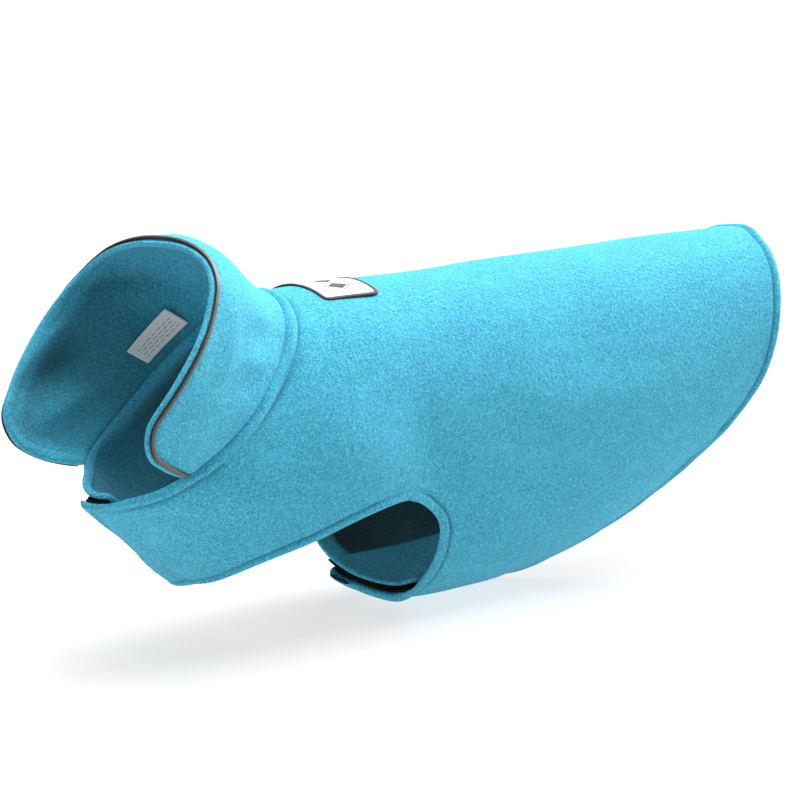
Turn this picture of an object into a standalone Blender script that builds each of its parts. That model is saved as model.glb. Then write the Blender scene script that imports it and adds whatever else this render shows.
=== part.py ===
"""Dog winter coat: a fleece body panel with chest flaps and belly straps, a stand collar and its trims.

The coat is filled out as it is when worn. The spine lies along X with the neck towards -X, the left side
is -Y and +Z is up. Tables and sizes below are in millimetres; meshes are built in metres. The origin is
at the withers, on the inner face of the back.
"""
import bpy
import numpy as np

MM = 0.001

# ---- driving sizes, mm ----
WITHERS = 90.0            # from the neck seam back to the origin
FLEECE = 2.6              # one layer of fleece
COLLAR_WALL = 5.0         # folded double collar
COLLAR_HEIGHT = 98.0
COLLAR_HALF_LENGTH = 250.0
COLLAR_CORNER = 34.0
TAPE = 2.0                # hook tape or loop tape
GAP = 0.6                 # between pieces that lie on each other
FLAP_CORNER = 8.0         # rounded corners of flaps and straps
END_WIDTH = {"front": 130.0, "rear": 150.0}       # across the free ends of the flaps and the straps
END_SLANT = {"front": 10.0, "rear": 0.0}          # degrees by which an end is longer at its rear corner
STRAP_PEEL = 4.0          # how far the left strap's end stands off the right one
PIPING_RADIUS = 1.9
PIPING_GAP = 0.85         # the cord runs straight between its points, the cloth does not
PIPING_INSET = 5.0        # from the collar's edge
BACK_LABEL = dict(x=(38.5, 95.5), y=(-36.0, 50.0), thick=1.0)
SIZE_LABEL = dict(thick=0.6, lift=2.5)
BURIED = FLEECE + 2 * TAPE + 3 * GAP   # how far the inner flap lies below the outer one

# ---- angles round the body, degrees: 0 at the spine, 180 under the chest, left side positive ----
LEFT_FLAP_END = 188.8
RIGHT_FLAP_END = 197.0
STRAP_END = 210.0
RIGHT_STRAP_END = 205.0
LAST_KNOT = 207.0                      # where the tables of the armhole and the hem end
ARMHOLE_TOP = 104.5
TUCK_FROM, TUCK_TO = 122.0, 147.0      # where the right side sinks below the left one
COLLAR_TURN = -7.5                     # the collar's centre back lies a little to the right
COLLAR_END = 129.5

# Stations along the body. Each is one ring between a point on the spine and a point under the body.
STATIONS = np.array([
    # u     top_x  top_z  low_x  low_z  half_width  recede  egg    shift_y  flat
    (0.00,    0.0,   0.0, -181.5, -154.5,  84.0,  17.0,  0.03,  -9.0,  0.05),
    (0.12,   50.0,  -2.0, -143.0, -190.0,  90.0,  16.0,  0.02,  -7.0,  0.22),
    (0.24,  105.0,  -1.8,  -88.0, -234.0,  94.0,  14.0,  0.02,  -4.0,  0.18),
    (0.36,  160.0,  -0.8,    8.0, -270.0,  96.0,  10.0,  0.02,  -1.0,  0.08),
    (0.48,  225.0,   0.8,  120.0, -283.5,  97.0,   5.0,  0.03,   0.0,  0.05),
    (0.60,  295.0,   1.2,  225.0, -286.0,  97.0,   0.0,  0.05,   0.0,  0.05),
    (0.72,  370.0,   2.2,  320.0, -270.0,  95.0,  -4.0,  0.08,   0.0,  0.05),
    (0.86,  460.0,   4.0,  425.0, -234.0,  90.0,  -6.0,  0.10,   0.0,  0.05),
    (1.00,  555.0,   3.5,  530.0, -190.0,  84.0,  -6.0,  0.10,   0.0,  0.05),
])
STATION_COLUMNS = ("top_x", "top_z", "low_x", "low_z", "half_width", "recede", "egg", "shift_y", "flat")

# The collar: how the cloth leans from the seam to its top edge, by angle from its centre back.
COLLAR_LEAN = np.array([
    # angle  forward  left_out  right_out  up   left_arch  right_arch  roll
    (0.0,    -99.0,     0.0,      0.0,   49.0,  -4.0,      -4.0,     24.5),
    (37.0,   -90.1,    22.5,     32.5,   52.2,  -6.5,       6.5,     11.3),
    (67.0,   -86.4,    26.5,     33.0,   50.5,  -3.0,       6.5,      2.7),
    (95.0,   -81.0,    24.0,     25.0,   45.9,   1.5,       8.0,     -0.8),
    (115.0,  -71.3,    22.0,     19.0,   40.7,   5.0,      12.0,     -1.0),
    (129.5,  -63.0,    30.0,     23.0,   38.4,   9.0,      17.0,      0.0),
])

# The armhole's edges: u in front of it and behind it, by angle.
ARMHOLE = np.array([
    # angle   front   rear_left  rear_right
    (104.5,  0.375,   0.375,     0.375),
    (105.8,  0.353,   0.395,     0.392),
    (109.2,  0.331,   0.417,     0.406),
    (113.2,  0.315,   0.435,     0.413),
    (118.0,  0.301,   0.448,     0.417),
    (125.0,  0.284,   0.459,     0.421),
    (133.6,  0.266,   0.469,     0.429),
    (143.5,  0.256,   0.478,     0.437),
    (160.0,  0.252,   0.487,     0.460),
    (180.0,  0.253,   0.485,     0.486),
    (195.0,  0.253,   0.470,     0.491),
    (207.0,  0.253,   0.454,     0.492),
])

# The rear hem: u by angle, from the tail down the flank and forward under the belly.
HEM = np.array([
    # angle     u
    (0.0,    0.993),
    (10.0,   0.988),
    (20.0,   0.980),
    (36.0,   0.976),
    (53.0,   0.972),
    (74.0,   0.967),
    (90.0,   0.962),
    (103.0,  0.953),
    (115.0,  0.935),
    (125.0,  0.913),
    (135.0,  0.875),
    (150.0,  0.798),
    (165.0,  0.713),
    (180.0,  0.653),
    (195.0,  0.628),
    (207.0,  0.621),
])

# Soft folds: from one place to another, how wide and how high they are in mm. Heights below 0 are troughs.
BODY_FOLDS = np.array([
    # u     angle    to_u    to_angle  width  height
    (0.137,   75.0,  0.330,  102.0,    27.0,   5.4),    # over the left shoulder, down to the armhole
    (0.311,   71.5,  0.457,  112.5,    21.0,  -5.2),
    (0.438,   56.5,  0.563,   78.5,    26.0,   1.4),
    (0.535,   76.0,  0.800,   83.5,    18.0,   3.8),
    (0.010,   50.0,  0.037,   81.0,    13.0,  -4.2),    # behind the neck seam
    (0.491,  118.0,  0.614,  151.0,    23.0,   4.8),    # behind the armhole
    (0.010,  134.0,  0.248,   90.0,    31.0,   4.8),    # from the chest flap up to the armhole
    (0.117,  121.0,  0.213,  138.0,    15.0,  -3.0),
    (0.789,   57.5,  0.930,   63.0,    27.0,  -1.7),
    (0.040,  -30.0,  0.040,   30.0,    17.0,  -3.0),    # across the back behind the collar
    (0.150,  -71.0,  0.342,  -98.0,    25.0,   4.8),    # similar ones on the right side, uneven
    (0.322,  -66.0,  0.450, -106.0,    20.0,  -4.4),
    (0.452,  -52.0,  0.580,  -74.0,    22.0,   1.9),
    (0.560,  -70.0,  0.780,  -87.0,    19.0,   3.0),
    (0.014,  -47.0,  0.046,  -76.0,    14.0,  -3.4),
    (0.505, -112.0,  0.605, -145.0,    22.0,   4.0),
    (0.014, -130.0,  0.236,  -92.0,    29.0,   4.0),
    (0.130, -120.0,  0.205, -140.0,    16.0,  -2.4),
])
COLLAR_FOLDS = np.array([
    # angle    v     to_angle  to_v  width  height
    (50.0,   0.78,    86.0,    0.54,  13.0,   3.4),     # near side: one long ridge and two dents
    (57.0,   0.12,    63.0,    0.43,  13.0,  -2.6),
    (87.0,   0.50,    77.0,    0.08,  13.0,  -2.8),
    (115.0,  0.82,   112.0,    0.15,  13.0,   2.2),
    (-54.0,  0.84,   -29.0,    0.27,  10.0,   4.2),     # far side: three slanting folds
    (-98.0,  0.78,   -72.0,    0.55,  14.0,   5.4),
    (-102.0, 0.98,   -70.0,    0.86,  11.0,  -3.8),
    (-110.0, 0.52,   -88.0,    0.24,  12.0,  -3.8),
])
FOLDS_FADE = 135.0, 158.0              # angles over which the folds die out before the overlaps
MM_PER_DEGREE = 2.1
BODY_LENGTH = 600.0

# Angles of the mesh rows. Beyond the armhole's top the rows of both sides mirror each other about 180.
UPPER_ROWS = np.array([0.0, 7.0, 14.0, 22.0, 30.0, 38.0, 46.0, 54.0,
                       62.0, 70.0, 78.0, 86.0, 93.0, 99.0, 102.5])
LOWER_ROWS = np.array([104.5, 105.1, 106.4, 108.6, 111.6, 115.4,
                       120.0, 125.0, 130.0, 135.0, 140.0, 145.0])
OVERLAP_STEP = 5.0
FRONT_COLUMNS = 12
REAR_COLUMNS = 20
COLLAR_COLUMNS = 56
COLLAR_ROWS = 10
DEGREES_PER_MM = 0.62                  # round the overlaps
CORNER_SPREAD = 30.0                   # degrees over which the rows take up a rounded corner

BLUE = (0.074, 0.445, 0.665, 1.0)
BLACK = (0.012, 0.012, 0.013, 1.0)
GREY = (0.22, 0.19, 0.18, 1.0)
WHITE = (0.82, 0.82, 0.80, 1.0)


def curve_through(x, knots_x, knots_y):
    """Cubic through the knots, with the slopes of their neighbours."""
    slopes = np.gradient(knots_y, knots_x)
    i = np.clip(np.searchsorted(knots_x, x) - 1, 0, len(knots_x) - 2)
    span = knots_x[i + 1] - knots_x[i]
    t = (x - knots_x[i]) / span
    start = (1 + 2 * t) * (1 - t) ** 2 * knots_y[i] + t * (1 - t) ** 2 * span * slopes[i]
    end = t * t * (3 - 2 * t) * knots_y[i + 1] + t * t * (t - 1) * span * slopes[i + 1]
    return start + end


def smooth_step(x, low, high):
    t = np.clip((x - low) / (high - low), 0.0, 1.0)
    return t * t * (3 - 2 * t)


def body_shape(u, angle):
    """The body's outer face without layers: an egg-shaped ring for each u, tilted at the neck."""
    s = {name: curve_through(u, STATIONS[:, 0], STATIONS[:, k + 1]) for k, name in enumerate(STATION_COLUMNS)}
    cos, sin = np.cos(np.radians(angle)), np.sin(np.radians(angle))
    half_x = (s["top_x"] - s["low_x"]) / 2
    half_z = (s["top_z"] - s["low_z"]) / 2
    tilt = np.hypot(half_x, half_z)
    along = cos * (1 + s["flat"] * sin ** 2 * (1 + cos) / 2)
    back = s["recede"] * sin ** 2 / tilt
    x = (s["top_x"] + s["low_x"]) / 2 + half_x * along + half_z * back
    y = -s["half_width"] * sin * (1 + s["egg"] * cos) + s["shift_y"] * (1 - cos) / 2
    z = (s["top_z"] + s["low_z"]) / 2 + half_z * along - half_x * back
    return np.stack([x, y, z], -1)


def unit(v):
    return v / np.linalg.norm(v, axis=-1, keepdims=True)


def fold_height(places, folds, scale):
    """Sum of soft ridges and troughs. Each fades sideways as a bell curve and is highest half way along."""
    at = np.stack(places, -1) * scale
    height = np.zeros(at.shape[:-1])
    for fold in folds:
        start = fold[:2] * scale
        run = fold[2:4] * scale - start
        t = np.clip((at - start) @ run / (run @ run), 0.0, 1.0)
        off = np.linalg.norm(at - start - t[..., None] * run, axis=-1)
        height += fold[5] * (0.4 + 0.6 * np.sin(np.pi * t)) * np.exp(-(off / fold[4]) ** 2)
    return height


def body_face(u, angle, depth=0.0):
    """A point of the body's cloth, `depth` below its outer face. The right side sinks under the left."""
    u, angle = np.broadcast_arrays(np.asarray(u, float), np.asarray(angle, float))
    round_it = body_shape(u, angle + 0.2) - body_shape(u, angle - 0.2)
    along_it = body_shape(u + 0.001, angle) - body_shape(u - 0.001, angle)
    tuck = BURIED * smooth_step(-angle, TUCK_FROM, TUCK_TO)
    tuck = tuck - STRAP_PEEL * smooth_step(angle, 192.0, STRAP_END)
    folds = fold_height((u, angle), BODY_FOLDS, np.array([BODY_LENGTH, MM_PER_DEGREE]))
    folds = folds * (1 - smooth_step(np.abs(angle), *FOLDS_FADE))
    return body_shape(u, angle) - unit(np.cross(round_it, along_it)) * (tuck + depth - folds)[..., None]


def collar_shape(angle, v):
    """The collar's outer face: v is 0 at the seam and 1 at the top edge."""
    a = np.abs(angle)
    forward, left, right, up, left_arch, right_arch, roll = (
        curve_through(a, COLLAR_LEAN[:, 0], COLLAR_LEAN[:, k]) for k in range(1, 8))
    out = np.where(angle >= 0, -left, right)
    lean = np.stack([forward, out, up], -1)
    turn = np.radians(angle + COLLAR_TURN)
    outwards = np.stack([0.38 * np.cos(turn), -np.sin(turn), 0.77 * np.cos(turn)], -1)
    arch = np.where(angle >= 0, left_arch, right_arch)
    swell = 4 * v * (1 - v) * arch + 6.75 * v * v * (1 - v) * roll
    return body_face(0.0, angle + COLLAR_TURN) + lean * v[..., None] + outwards * swell[..., None]


def collar_face(angle, v, depth=0.0):
    """A point of the collar, `depth` below its outer face."""
    angle, v = np.broadcast_arrays(np.asarray(angle, float), np.asarray(v, float))
    round_it = collar_shape(angle + 0.3, v) - collar_shape(angle - 0.3, v)
    up_it = collar_shape(angle, v + 0.003) - collar_shape(angle, v - 0.003)
    mm_per_degree = COLLAR_HALF_LENGTH / COLLAR_END
    folds = fold_height((angle, v), COLLAR_FOLDS, np.array([mm_per_degree, COLLAR_HEIGHT]))
    return collar_shape(angle, v) - unit(np.cross(up_it, round_it)) * (depth - folds)[..., None]


def collar_top(angle, inset=0.0):
    """v at the collar's edge, or `inset` inside it: 1, falling round a corner at each end."""
    radius = COLLAR_CORNER - inset
    from_end = COLLAR_HALF_LENGTH * (1 - np.abs(angle) / COLLAR_END) - inset
    k = np.clip(1 - from_end / radius, 0.0, 0.999)
    return 1 - (inset + (1 - np.sqrt(1 - k * k)) * radius) / COLLAR_HEIGHT


def armhole(angle, side):
    """u of the armhole's front edge and rear edge. Both leave its top at right angles to the rows."""
    w = np.sqrt(np.maximum(angle - ARMHOLE_TOP, 0.0))
    knots = np.sqrt(ARMHOLE[:, 0] - ARMHOLE_TOP)
    rear = ARMHOLE[:, 2 if side > 0 else 3]
    return curve_through(w, knots, ARMHOLE[:, 1]), curve_through(w, knots, rear)


def corner_cut(v, length):
    """How far a rounded end is cut back at each share v of its length, mm."""
    from_edge = np.minimum(v, 1 - v) * length
    k = np.clip(1 - from_edge / FLAP_CORNER, 0.0, 0.995)
    return FLAP_CORNER * (1 - np.sqrt(1 - k * k))


def rows_to(end):
    """Row angles from the armhole's top to the end of a flap or strap."""
    overlap = np.arange(150.0, end - 3.0, OVERLAP_STEP)
    return np.concatenate([LOWER_ROWS, overlap, [end]])


def panel_grid(side, part, end):
    """Rows round the body and columns along it, for the front or the rear half of one side."""
    rows = np.concatenate([UPPER_ROWS, rows_to(end)])
    front, rear = armhole(rows, side)
    if part == "front":
        low, high, columns = np.zeros_like(rows), front, FRONT_COLUMNS
    else:
        low, high, columns = rear, curve_through(rows, HEM[:, 0], HEM[:, 1]), REAR_COLUMNS
    v = np.linspace(0.0, 1.0, columns + 1)
    u = low[:, None] + (high - low)[:, None] * v
    shorten = corner_cut(v, END_WIDTH[part]) * DEGREES_PER_MM - END_SLANT[part] * v * v
    share = smooth_step(rows, end - CORNER_SPREAD, end)
    angle = rows[:, None] - share[:, None] * shorten
    return body_face(u, side * angle)


def grid_faces(rows, columns, start, flip):
    i, j = np.meshgrid(np.arange(rows - 1), np.arange(columns - 1), indexing="ij")
    first = (start + i * columns + j).ravel()
    quads = np.stack([first, first + columns, first + columns + 1, first + 1], -1)
    return quads[:, ::-1] if flip else quads


def material(name, colour, roughness):
    made = bpy.data.materials.new(name)
    made.use_nodes = True
    shader = made.node_tree.nodes["Principled BSDF"]
    shader.inputs["Base Color"].default_value = colour
    shader.inputs["Roughness"].default_value = roughness
    shader.inputs["Metallic"].default_value = 0.0
    return made


def to_world(points):
    """Millimetres from the neck seam to metres from the withers."""
    return (points - np.array([WITHERS, 0.0, -FLEECE])) * MM


def cloth_object(name, grids, thickness, finish, flips=None):
    """Joins grids of points into one sheet and gives it a wall that grows inwards."""
    points, faces, start = [], [], 0
    for k, grid in enumerate(grids):
        rows, columns = grid.shape[:2]
        points.append(to_world(grid).reshape(-1, 3))
        faces.append(grid_faces(rows, columns, start, bool(flips and flips[k])))
        start += rows * columns
    mesh = bpy.data.meshes.new(name)
    mesh.from_pydata(np.concatenate(points).tolist(), [], np.concatenate(faces).tolist())
    made = bpy.data.objects.new(name, mesh)
    coat.objects.link(made)
    weld = made.modifiers.new("weld", "WELD")
    weld.merge_threshold = 0.00002
    wall = made.modifiers.new("wall", "SOLIDIFY")
    wall.thickness = thickness * MM
    wall.offset = -1.0
    mesh.materials.append(finish)
    mesh.shade_smooth()
    return made


def make_body(finish):
    ends = {1: (LEFT_FLAP_END, STRAP_END), -1: (RIGHT_FLAP_END, RIGHT_STRAP_END)}
    grids, flips = [], []
    for side, (flap_end, strap_end) in ends.items():
        for part, end in (("front", flap_end), ("rear", strap_end)):
            grids.append(panel_grid(side, part, end))
            flips.append(side < 0)
    cloth_object("body_panel", grids, FLEECE, finish, flips)


def make_collar(finish):
    close = 0.5 * np.arange(3)
    inner = np.linspace(2.5 - COLLAR_END, COLLAR_END - 2.5, COLLAR_COLUMNS)
    angles = np.concatenate([close - COLLAR_END, inner, COLLAR_END - close[::-1]])
    root = 1.45 * GAP / COLLAR_HEIGHT
    v = root + (collar_top(angles)[:, None] - root) * np.linspace(0.0, 1.0, COLLAR_ROWS)
    cloth_object("collar", [collar_face(angles[:, None], v)], COLLAR_WALL, finish, [True])


def make_piping(finish):
    """A cord along the collar's ends and top edge, on its outer face."""
    inset_angle = PIPING_INSET / COLLAR_HALF_LENGTH * COLLAR_END
    last = COLLAR_END - inset_angle
    angles = last * np.sin(np.linspace(-np.pi / 2, np.pi / 2, 71))
    top = collar_top(angles, PIPING_INSET)
    rise = np.linspace(0.05, top[0], 4)[:-1]
    path_angles = np.concatenate([np.full(3, -last), angles, np.full(3, last)])
    path_v = np.concatenate([rise, top, rise[::-1]])
    points = to_world(collar_face(path_angles, path_v, -(PIPING_RADIUS + PIPING_GAP)))
    curve = bpy.data.curves.new("collar_piping", "CURVE")
    curve.dimensions = "3D"
    curve.bevel_depth = PIPING_RADIUS * MM
    curve.bevel_resolution = 2
    curve.use_fill_caps = True
    spline = curve.splines.new("POLY")
    spline.points.add(len(points) - 1)
    spline.points.foreach_set("co", np.column_stack([points, np.ones(len(points))]).ravel())
    curve.materials.append(finish)
    coat.objects.link(bpy.data.objects.new("collar_piping", curve))


def make_tapes(finish):
    """Loop tape under the outer flap or strap, hook tape on the inner one, facing it."""
    rows = {"chest": (165.0, 185.0), "belly": (160.0, 203.0)}
    hook_extra = {"chest": 0.0, "belly": 8.0}
    for place, (first, last) in rows.items():
        for kind in ("loop", "hook"):
            hooked = kind == "hook"
            end = last + (hook_extra[place] if hooked else 0.0)
            angles = np.append(np.arange(first, end - 1.0, OVERLAP_STEP), end)
            if place == "chest":
                low, high = np.full_like(angles, 0.002), armhole(angles, 1)[0] - 0.020
            else:
                side, at = (-1, 360.0 - angles) if hooked else (1, np.minimum(angles, LAST_KNOT))
                rear = armhole(at, side)[1]
                low, high = rear + 0.001, rear + 0.120
            u = low[:, None] + (high - low)[:, None] * np.linspace(0.0, 1.0, 9)
            if hooked:
                grid = body_face(u, angles[:, None] - 360.0, -TAPE - GAP)
            else:
                grid = body_face(u, angles[:, None], FLEECE + GAP)
            cloth_object(f"{place}_{kind}_tape", [grid], TAPE, finish)


def over_back(x, y):
    """u and angle of the outer face's point at x and y near the spine, by repeated correction."""
    u = np.full(np.broadcast(x, y).shape, 0.12)
    angle = np.zeros_like(u)
    for _ in range(30):
        at = body_shape(u, angle)
        u = u + (x - at[..., 0]) / 480.0
        angle = angle - (y - at[..., 1]) / 1.6
    return u, angle


def make_labels(woven, satin):
    x = np.linspace(*BACK_LABEL["x"], 8)
    y = np.linspace(*BACK_LABEL["y"][::-1], 16)
    u, angle = over_back(x[None, :], y[:, None])
    grid = body_face(u, angle, -(GAP + BACK_LABEL["thick"]))
    cloth_object("back_label", [grid], BACK_LABEL["thick"], woven)
    angles = np.linspace(-43.5, -69.0, 9)[:, None]
    v = np.linspace(0.045, 0.235, 5)[None, :]
    lift = COLLAR_WALL + GAP + SIZE_LABEL["lift"] * (v - v[0, 0]) / (v[0, -1] - v[0, 0])
    face = collar_face(*np.broadcast_arrays(angles, v), 0.0)
    below = collar_face(*np.broadcast_arrays(angles, v), 1.0)
    cloth_object("size_label", [face + (below - face) * lift[..., None]], SIZE_LABEL["thick"], satin)


for old in list(bpy.data.objects):
    bpy.data.objects.remove(old)
coat = bpy.data.collections.new("dog_winter_coat")
bpy.context.scene.collection.children.link(coat)

fleece = material("fleece", BLUE, 0.95)
make_body(fleece)
make_collar(fleece)
make_piping(material("reflective_piping", GREY, 0.45))
make_tapes(material("hook_and_loop_tape", BLACK, 0.9))
make_labels(material("woven_label", WHITE, 0.8), material("satin_label", WHITE, 0.5))
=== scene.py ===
"""Dog winter coat, dressed: fleece body panel, stand collar, piping, fastening tapes, labels and stage.

Run as a script in Blender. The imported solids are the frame; each piece here lies on its solid's form.
Shapes are worked out in millimetres from the neck seam's centre back and put in place in metres.
"""

import bpy
import numpy as np
from mathutils import Matrix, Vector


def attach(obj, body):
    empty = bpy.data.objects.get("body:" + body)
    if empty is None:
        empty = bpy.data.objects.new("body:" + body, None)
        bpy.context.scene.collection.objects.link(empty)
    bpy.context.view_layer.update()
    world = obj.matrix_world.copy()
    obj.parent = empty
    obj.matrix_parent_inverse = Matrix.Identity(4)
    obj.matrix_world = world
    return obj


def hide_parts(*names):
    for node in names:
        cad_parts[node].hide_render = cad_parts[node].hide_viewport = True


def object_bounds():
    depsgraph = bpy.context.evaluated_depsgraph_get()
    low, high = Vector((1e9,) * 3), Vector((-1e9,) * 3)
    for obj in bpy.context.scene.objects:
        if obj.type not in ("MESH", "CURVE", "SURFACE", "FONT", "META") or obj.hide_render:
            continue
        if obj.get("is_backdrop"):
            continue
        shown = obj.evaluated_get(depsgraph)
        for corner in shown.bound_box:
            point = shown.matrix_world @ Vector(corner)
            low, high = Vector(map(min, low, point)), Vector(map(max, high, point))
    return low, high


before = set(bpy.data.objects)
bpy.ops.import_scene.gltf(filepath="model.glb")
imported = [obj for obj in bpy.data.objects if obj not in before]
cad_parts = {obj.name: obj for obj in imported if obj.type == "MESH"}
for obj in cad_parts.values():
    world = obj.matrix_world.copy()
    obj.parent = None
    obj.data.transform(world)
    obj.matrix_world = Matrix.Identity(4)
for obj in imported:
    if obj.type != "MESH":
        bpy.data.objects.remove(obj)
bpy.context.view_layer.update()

bl_info = {
    "name": "Dog Winter Coat",
    "version": (1, 0, 0),
    "blender": (4, 5, 0),
    "location": "View3D > Sidebar > Coat",
    "description": "Makes a fleece dog coat with a stand collar, and a stage to show it on",
    "category": "Add Mesh",
}

MM = 0.001

# ---------------------------------------------------------------- sizes of the pattern, mm and degrees
WITHERS = 90.0             # from the neck seam back to the origin
FLEECE = 2.6               # one layer of fleece
COLLAR_WALL = 5.0          # folded double collar
COLLAR_HEIGHT = 98.0
COLLAR_HALF_LENGTH = 250.0
COLLAR_CORNER = 34.0
COLLAR_TURN = -7.5         # the collar's centre back lies a little to the right
COLLAR_END = 129.5
TAPE = 2.0                 # hook tape or loop tape
GAP = 0.6                  # between pieces that lie on each other
BURIED = FLEECE + 2 * TAPE + 3 * GAP
TUCK = 122.0, 147.0        # where the right side sinks below the left one
FLAP_ENDS = {1: 188.8, -1: 197.0}
STRAP_ENDS = {1: 210.0, -1: 205.0}
END_WIDTH = {"front": 130.0, "rear": 150.0}
END_SLANT = {"front": 10.0, "rear": 0.0}    # degrees by which an end is longer at its rear corner
STRAP_PEEL = 4.0           # how far the left strap's end stands off the right one
FLAP_LIFT = 7.5            # the same at the left flap's rear corner
FLAP_CORNER = 8.0
CORNER_SPREAD = 30.0       # degrees before a free end over which its corners are cut back
DEGREES_PER_MM = 0.62      # at a free end
ARMHOLE_TOP = 104.5
MM_PER_DEGREE = 2.1        # of cloth round the body
BODY_LENGTH = 600.0        # of cloth from u = 0 to u = 1
FOLDS_FADE = 135.0, 158.0  # angles over which the folds die out before the overlaps
PIPING_INSET = 5.0         # from the collar's edge
BACK_LABEL = dict(x=(38.5, 95.5), y=(-36.0, 50.0), thick=1.0)      # over the spine
SIZE_LABEL = dict(angle=(-43.5, -69.0), v=(0.045, 0.235), thick=0.6, lift=2.5)
TAPES = {
    # angles of the loop tape, more degrees of the hook tape, u left free before it, free behind it or covered
    "chest": dict(angles=(165.0, 185.0), hook_extra=0.0, before=0.006, behind=0.020),
    "belly": dict(angles=(160.0, 208.3), hook_extra=2.7, before=0.001, covered=0.120),
}
TAPE_STITCH = 0.004        # u from the belly's loop tape's edge to its stitches

# Stations along the body. Each is one ring between a point on the spine and a point under the body.
STATION_COLUMNS = ("top_x", "top_z", "low_x", "low_z", "half_width", "recede", "egg", "shift_y", "flat")
STATIONS = np.array([
    # u     top_x  top_z  low_x  low_z  half_width  recede  egg    shift_y  flat
    (0.00,    0.0,   0.0, -181.5, -154.5,  84.0,  17.0,  0.03,  -9.0,  0.05),
    (0.12,   50.0,  -2.0, -143.0, -190.0,  90.0,  16.0,  0.02,  -7.0,  0.22),
    (0.24,  105.0,  -1.8,  -88.0, -234.0,  94.0,  14.0,  0.02,  -4.0,  0.18),
    (0.36,  160.0,  -0.8,    8.0, -270.0,  96.0,  10.0,  0.02,  -1.0,  0.08),
    (0.48,  225.0,   0.8,  120.0, -283.5,  97.0,   5.0,  0.03,   0.0,  0.05),
    (0.60,  295.0,   1.2,  225.0, -286.0,  97.0,   0.0,  0.05,   0.0,  0.05),
    (0.72,  370.0,   2.2,  320.0, -270.0,  95.0,  -4.0,  0.08,   0.0,  0.05),
    (0.86,  460.0,   4.0,  425.0, -234.0,  90.0,  -6.0,  0.10,   0.0,  0.05),
    (1.00,  555.0,   3.5,  530.0, -190.0,  84.0,  -6.0,  0.10,   0.0,  0.05),
])

# How the collar's cloth leans from the seam to its top edge, by angle from its centre back.
COLLAR_LEAN = np.array([
    # angle  forward  left_out  right_out  up   left_arch  right_arch  roll
    (0.0,    -99.0,     0.0,      0.0,   49.0,  -4.0,      -4.0,     24.5),
    (37.0,   -90.1,    22.5,     32.5,   52.2,  -6.5,       6.5,     11.3),
    (67.0,   -86.4,    26.5,     33.0,   50.5,  -3.0,       6.5,      2.7),
    (95.0,   -81.0,    24.0,     25.0,   45.9,   1.5,       8.0,     -0.8),
    (115.0,  -71.3,    22.0,     19.0,   40.7,   5.0,      12.0,     -1.0),
    (129.5,  -63.0,    30.0,     23.0,   38.4,   9.0,      17.0,      0.0),
])

# The armhole's edges: u in front of it and behind it, by angle.
ARMHOLE = np.array([
    # angle   front   rear_left  rear_right
    (104.5,  0.375,   0.375,     0.375),
    (105.8,  0.353,   0.395,     0.392),
    (109.2,  0.331,   0.417,     0.406),
    (113.2,  0.315,   0.435,     0.413),
    (118.0,  0.301,   0.448,     0.417),
    (125.0,  0.284,   0.459,     0.421),
    (133.6,  0.266,   0.469,     0.429),
    (143.5,  0.256,   0.478,     0.437),
    (160.0,  0.252,   0.487,     0.460),
    (180.0,  0.253,   0.485,     0.486),
    (195.0,  0.253,   0.470,     0.491),
    (207.0,  0.253,   0.454,     0.492),
])

# The rear hem: u by angle, from the tail down the flank and forward under the belly.
HEM = np.array([
    # angle     u
    (0.0,    0.993),
    (10.0,   0.988),
    (20.0,   0.980),
    (36.0,   0.976),
    (53.0,   0.972),
    (74.0,   0.967),
    (90.0,   0.962),
    (103.0,  0.953),
    (115.0,  0.935),
    (125.0,  0.913),
    (135.0,  0.875),
    (150.0,  0.798),
    (165.0,  0.713),
    (180.0,  0.653),
    (195.0,  0.628),
    (207.0,  0.621),
])

# Soft folds: from one place to another, how wide and how high they are in mm. Heights below 0 are troughs.
BODY_FOLDS = np.array([
    # u     angle    to_u    to_angle  width  height
    (0.137,   75.0,  0.330,  102.0,    27.0,   5.4),    # over the left shoulder, down to the armhole
    (0.311,   71.5,  0.457,  112.5,    21.0,  -5.2),
    (0.438,   56.5,  0.563,   78.5,    26.0,   1.4),
    (0.535,   76.0,  0.800,   83.5,    18.0,   3.8),
    (0.010,   50.0,  0.037,   81.0,    13.0,  -4.2),    # behind the neck seam
    (0.491,  118.0,  0.614,  151.0,    23.0,   4.8),    # behind the armhole
    (0.010,  134.0,  0.248,   90.0,    31.0,   4.8),    # from the chest flap up to the armhole
    (0.117,  121.0,  0.213,  138.0,    15.0,  -3.0),
    (0.789,   57.5,  0.930,   63.0,    27.0,  -1.7),
    (0.040,  -30.0,  0.040,   30.0,    17.0,  -3.0),    # across the back behind the collar
    (0.150,  -71.0,  0.342,  -98.0,    25.0,   4.8),    # similar ones on the right side, uneven
    (0.322,  -66.0,  0.450, -106.0,    20.0,  -4.4),
    (0.452,  -52.0,  0.580,  -74.0,    22.0,   1.9),
    (0.560,  -70.0,  0.780,  -87.0,    19.0,   3.0),
    (0.014,  -47.0,  0.046,  -76.0,    14.0,  -3.4),
    (0.505, -112.0,  0.605, -145.0,    22.0,   4.0),
    (0.014, -130.0,  0.236,  -92.0,    29.0,   4.0),
    (0.130, -120.0,  0.205, -140.0,    16.0,  -2.4),
])
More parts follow.
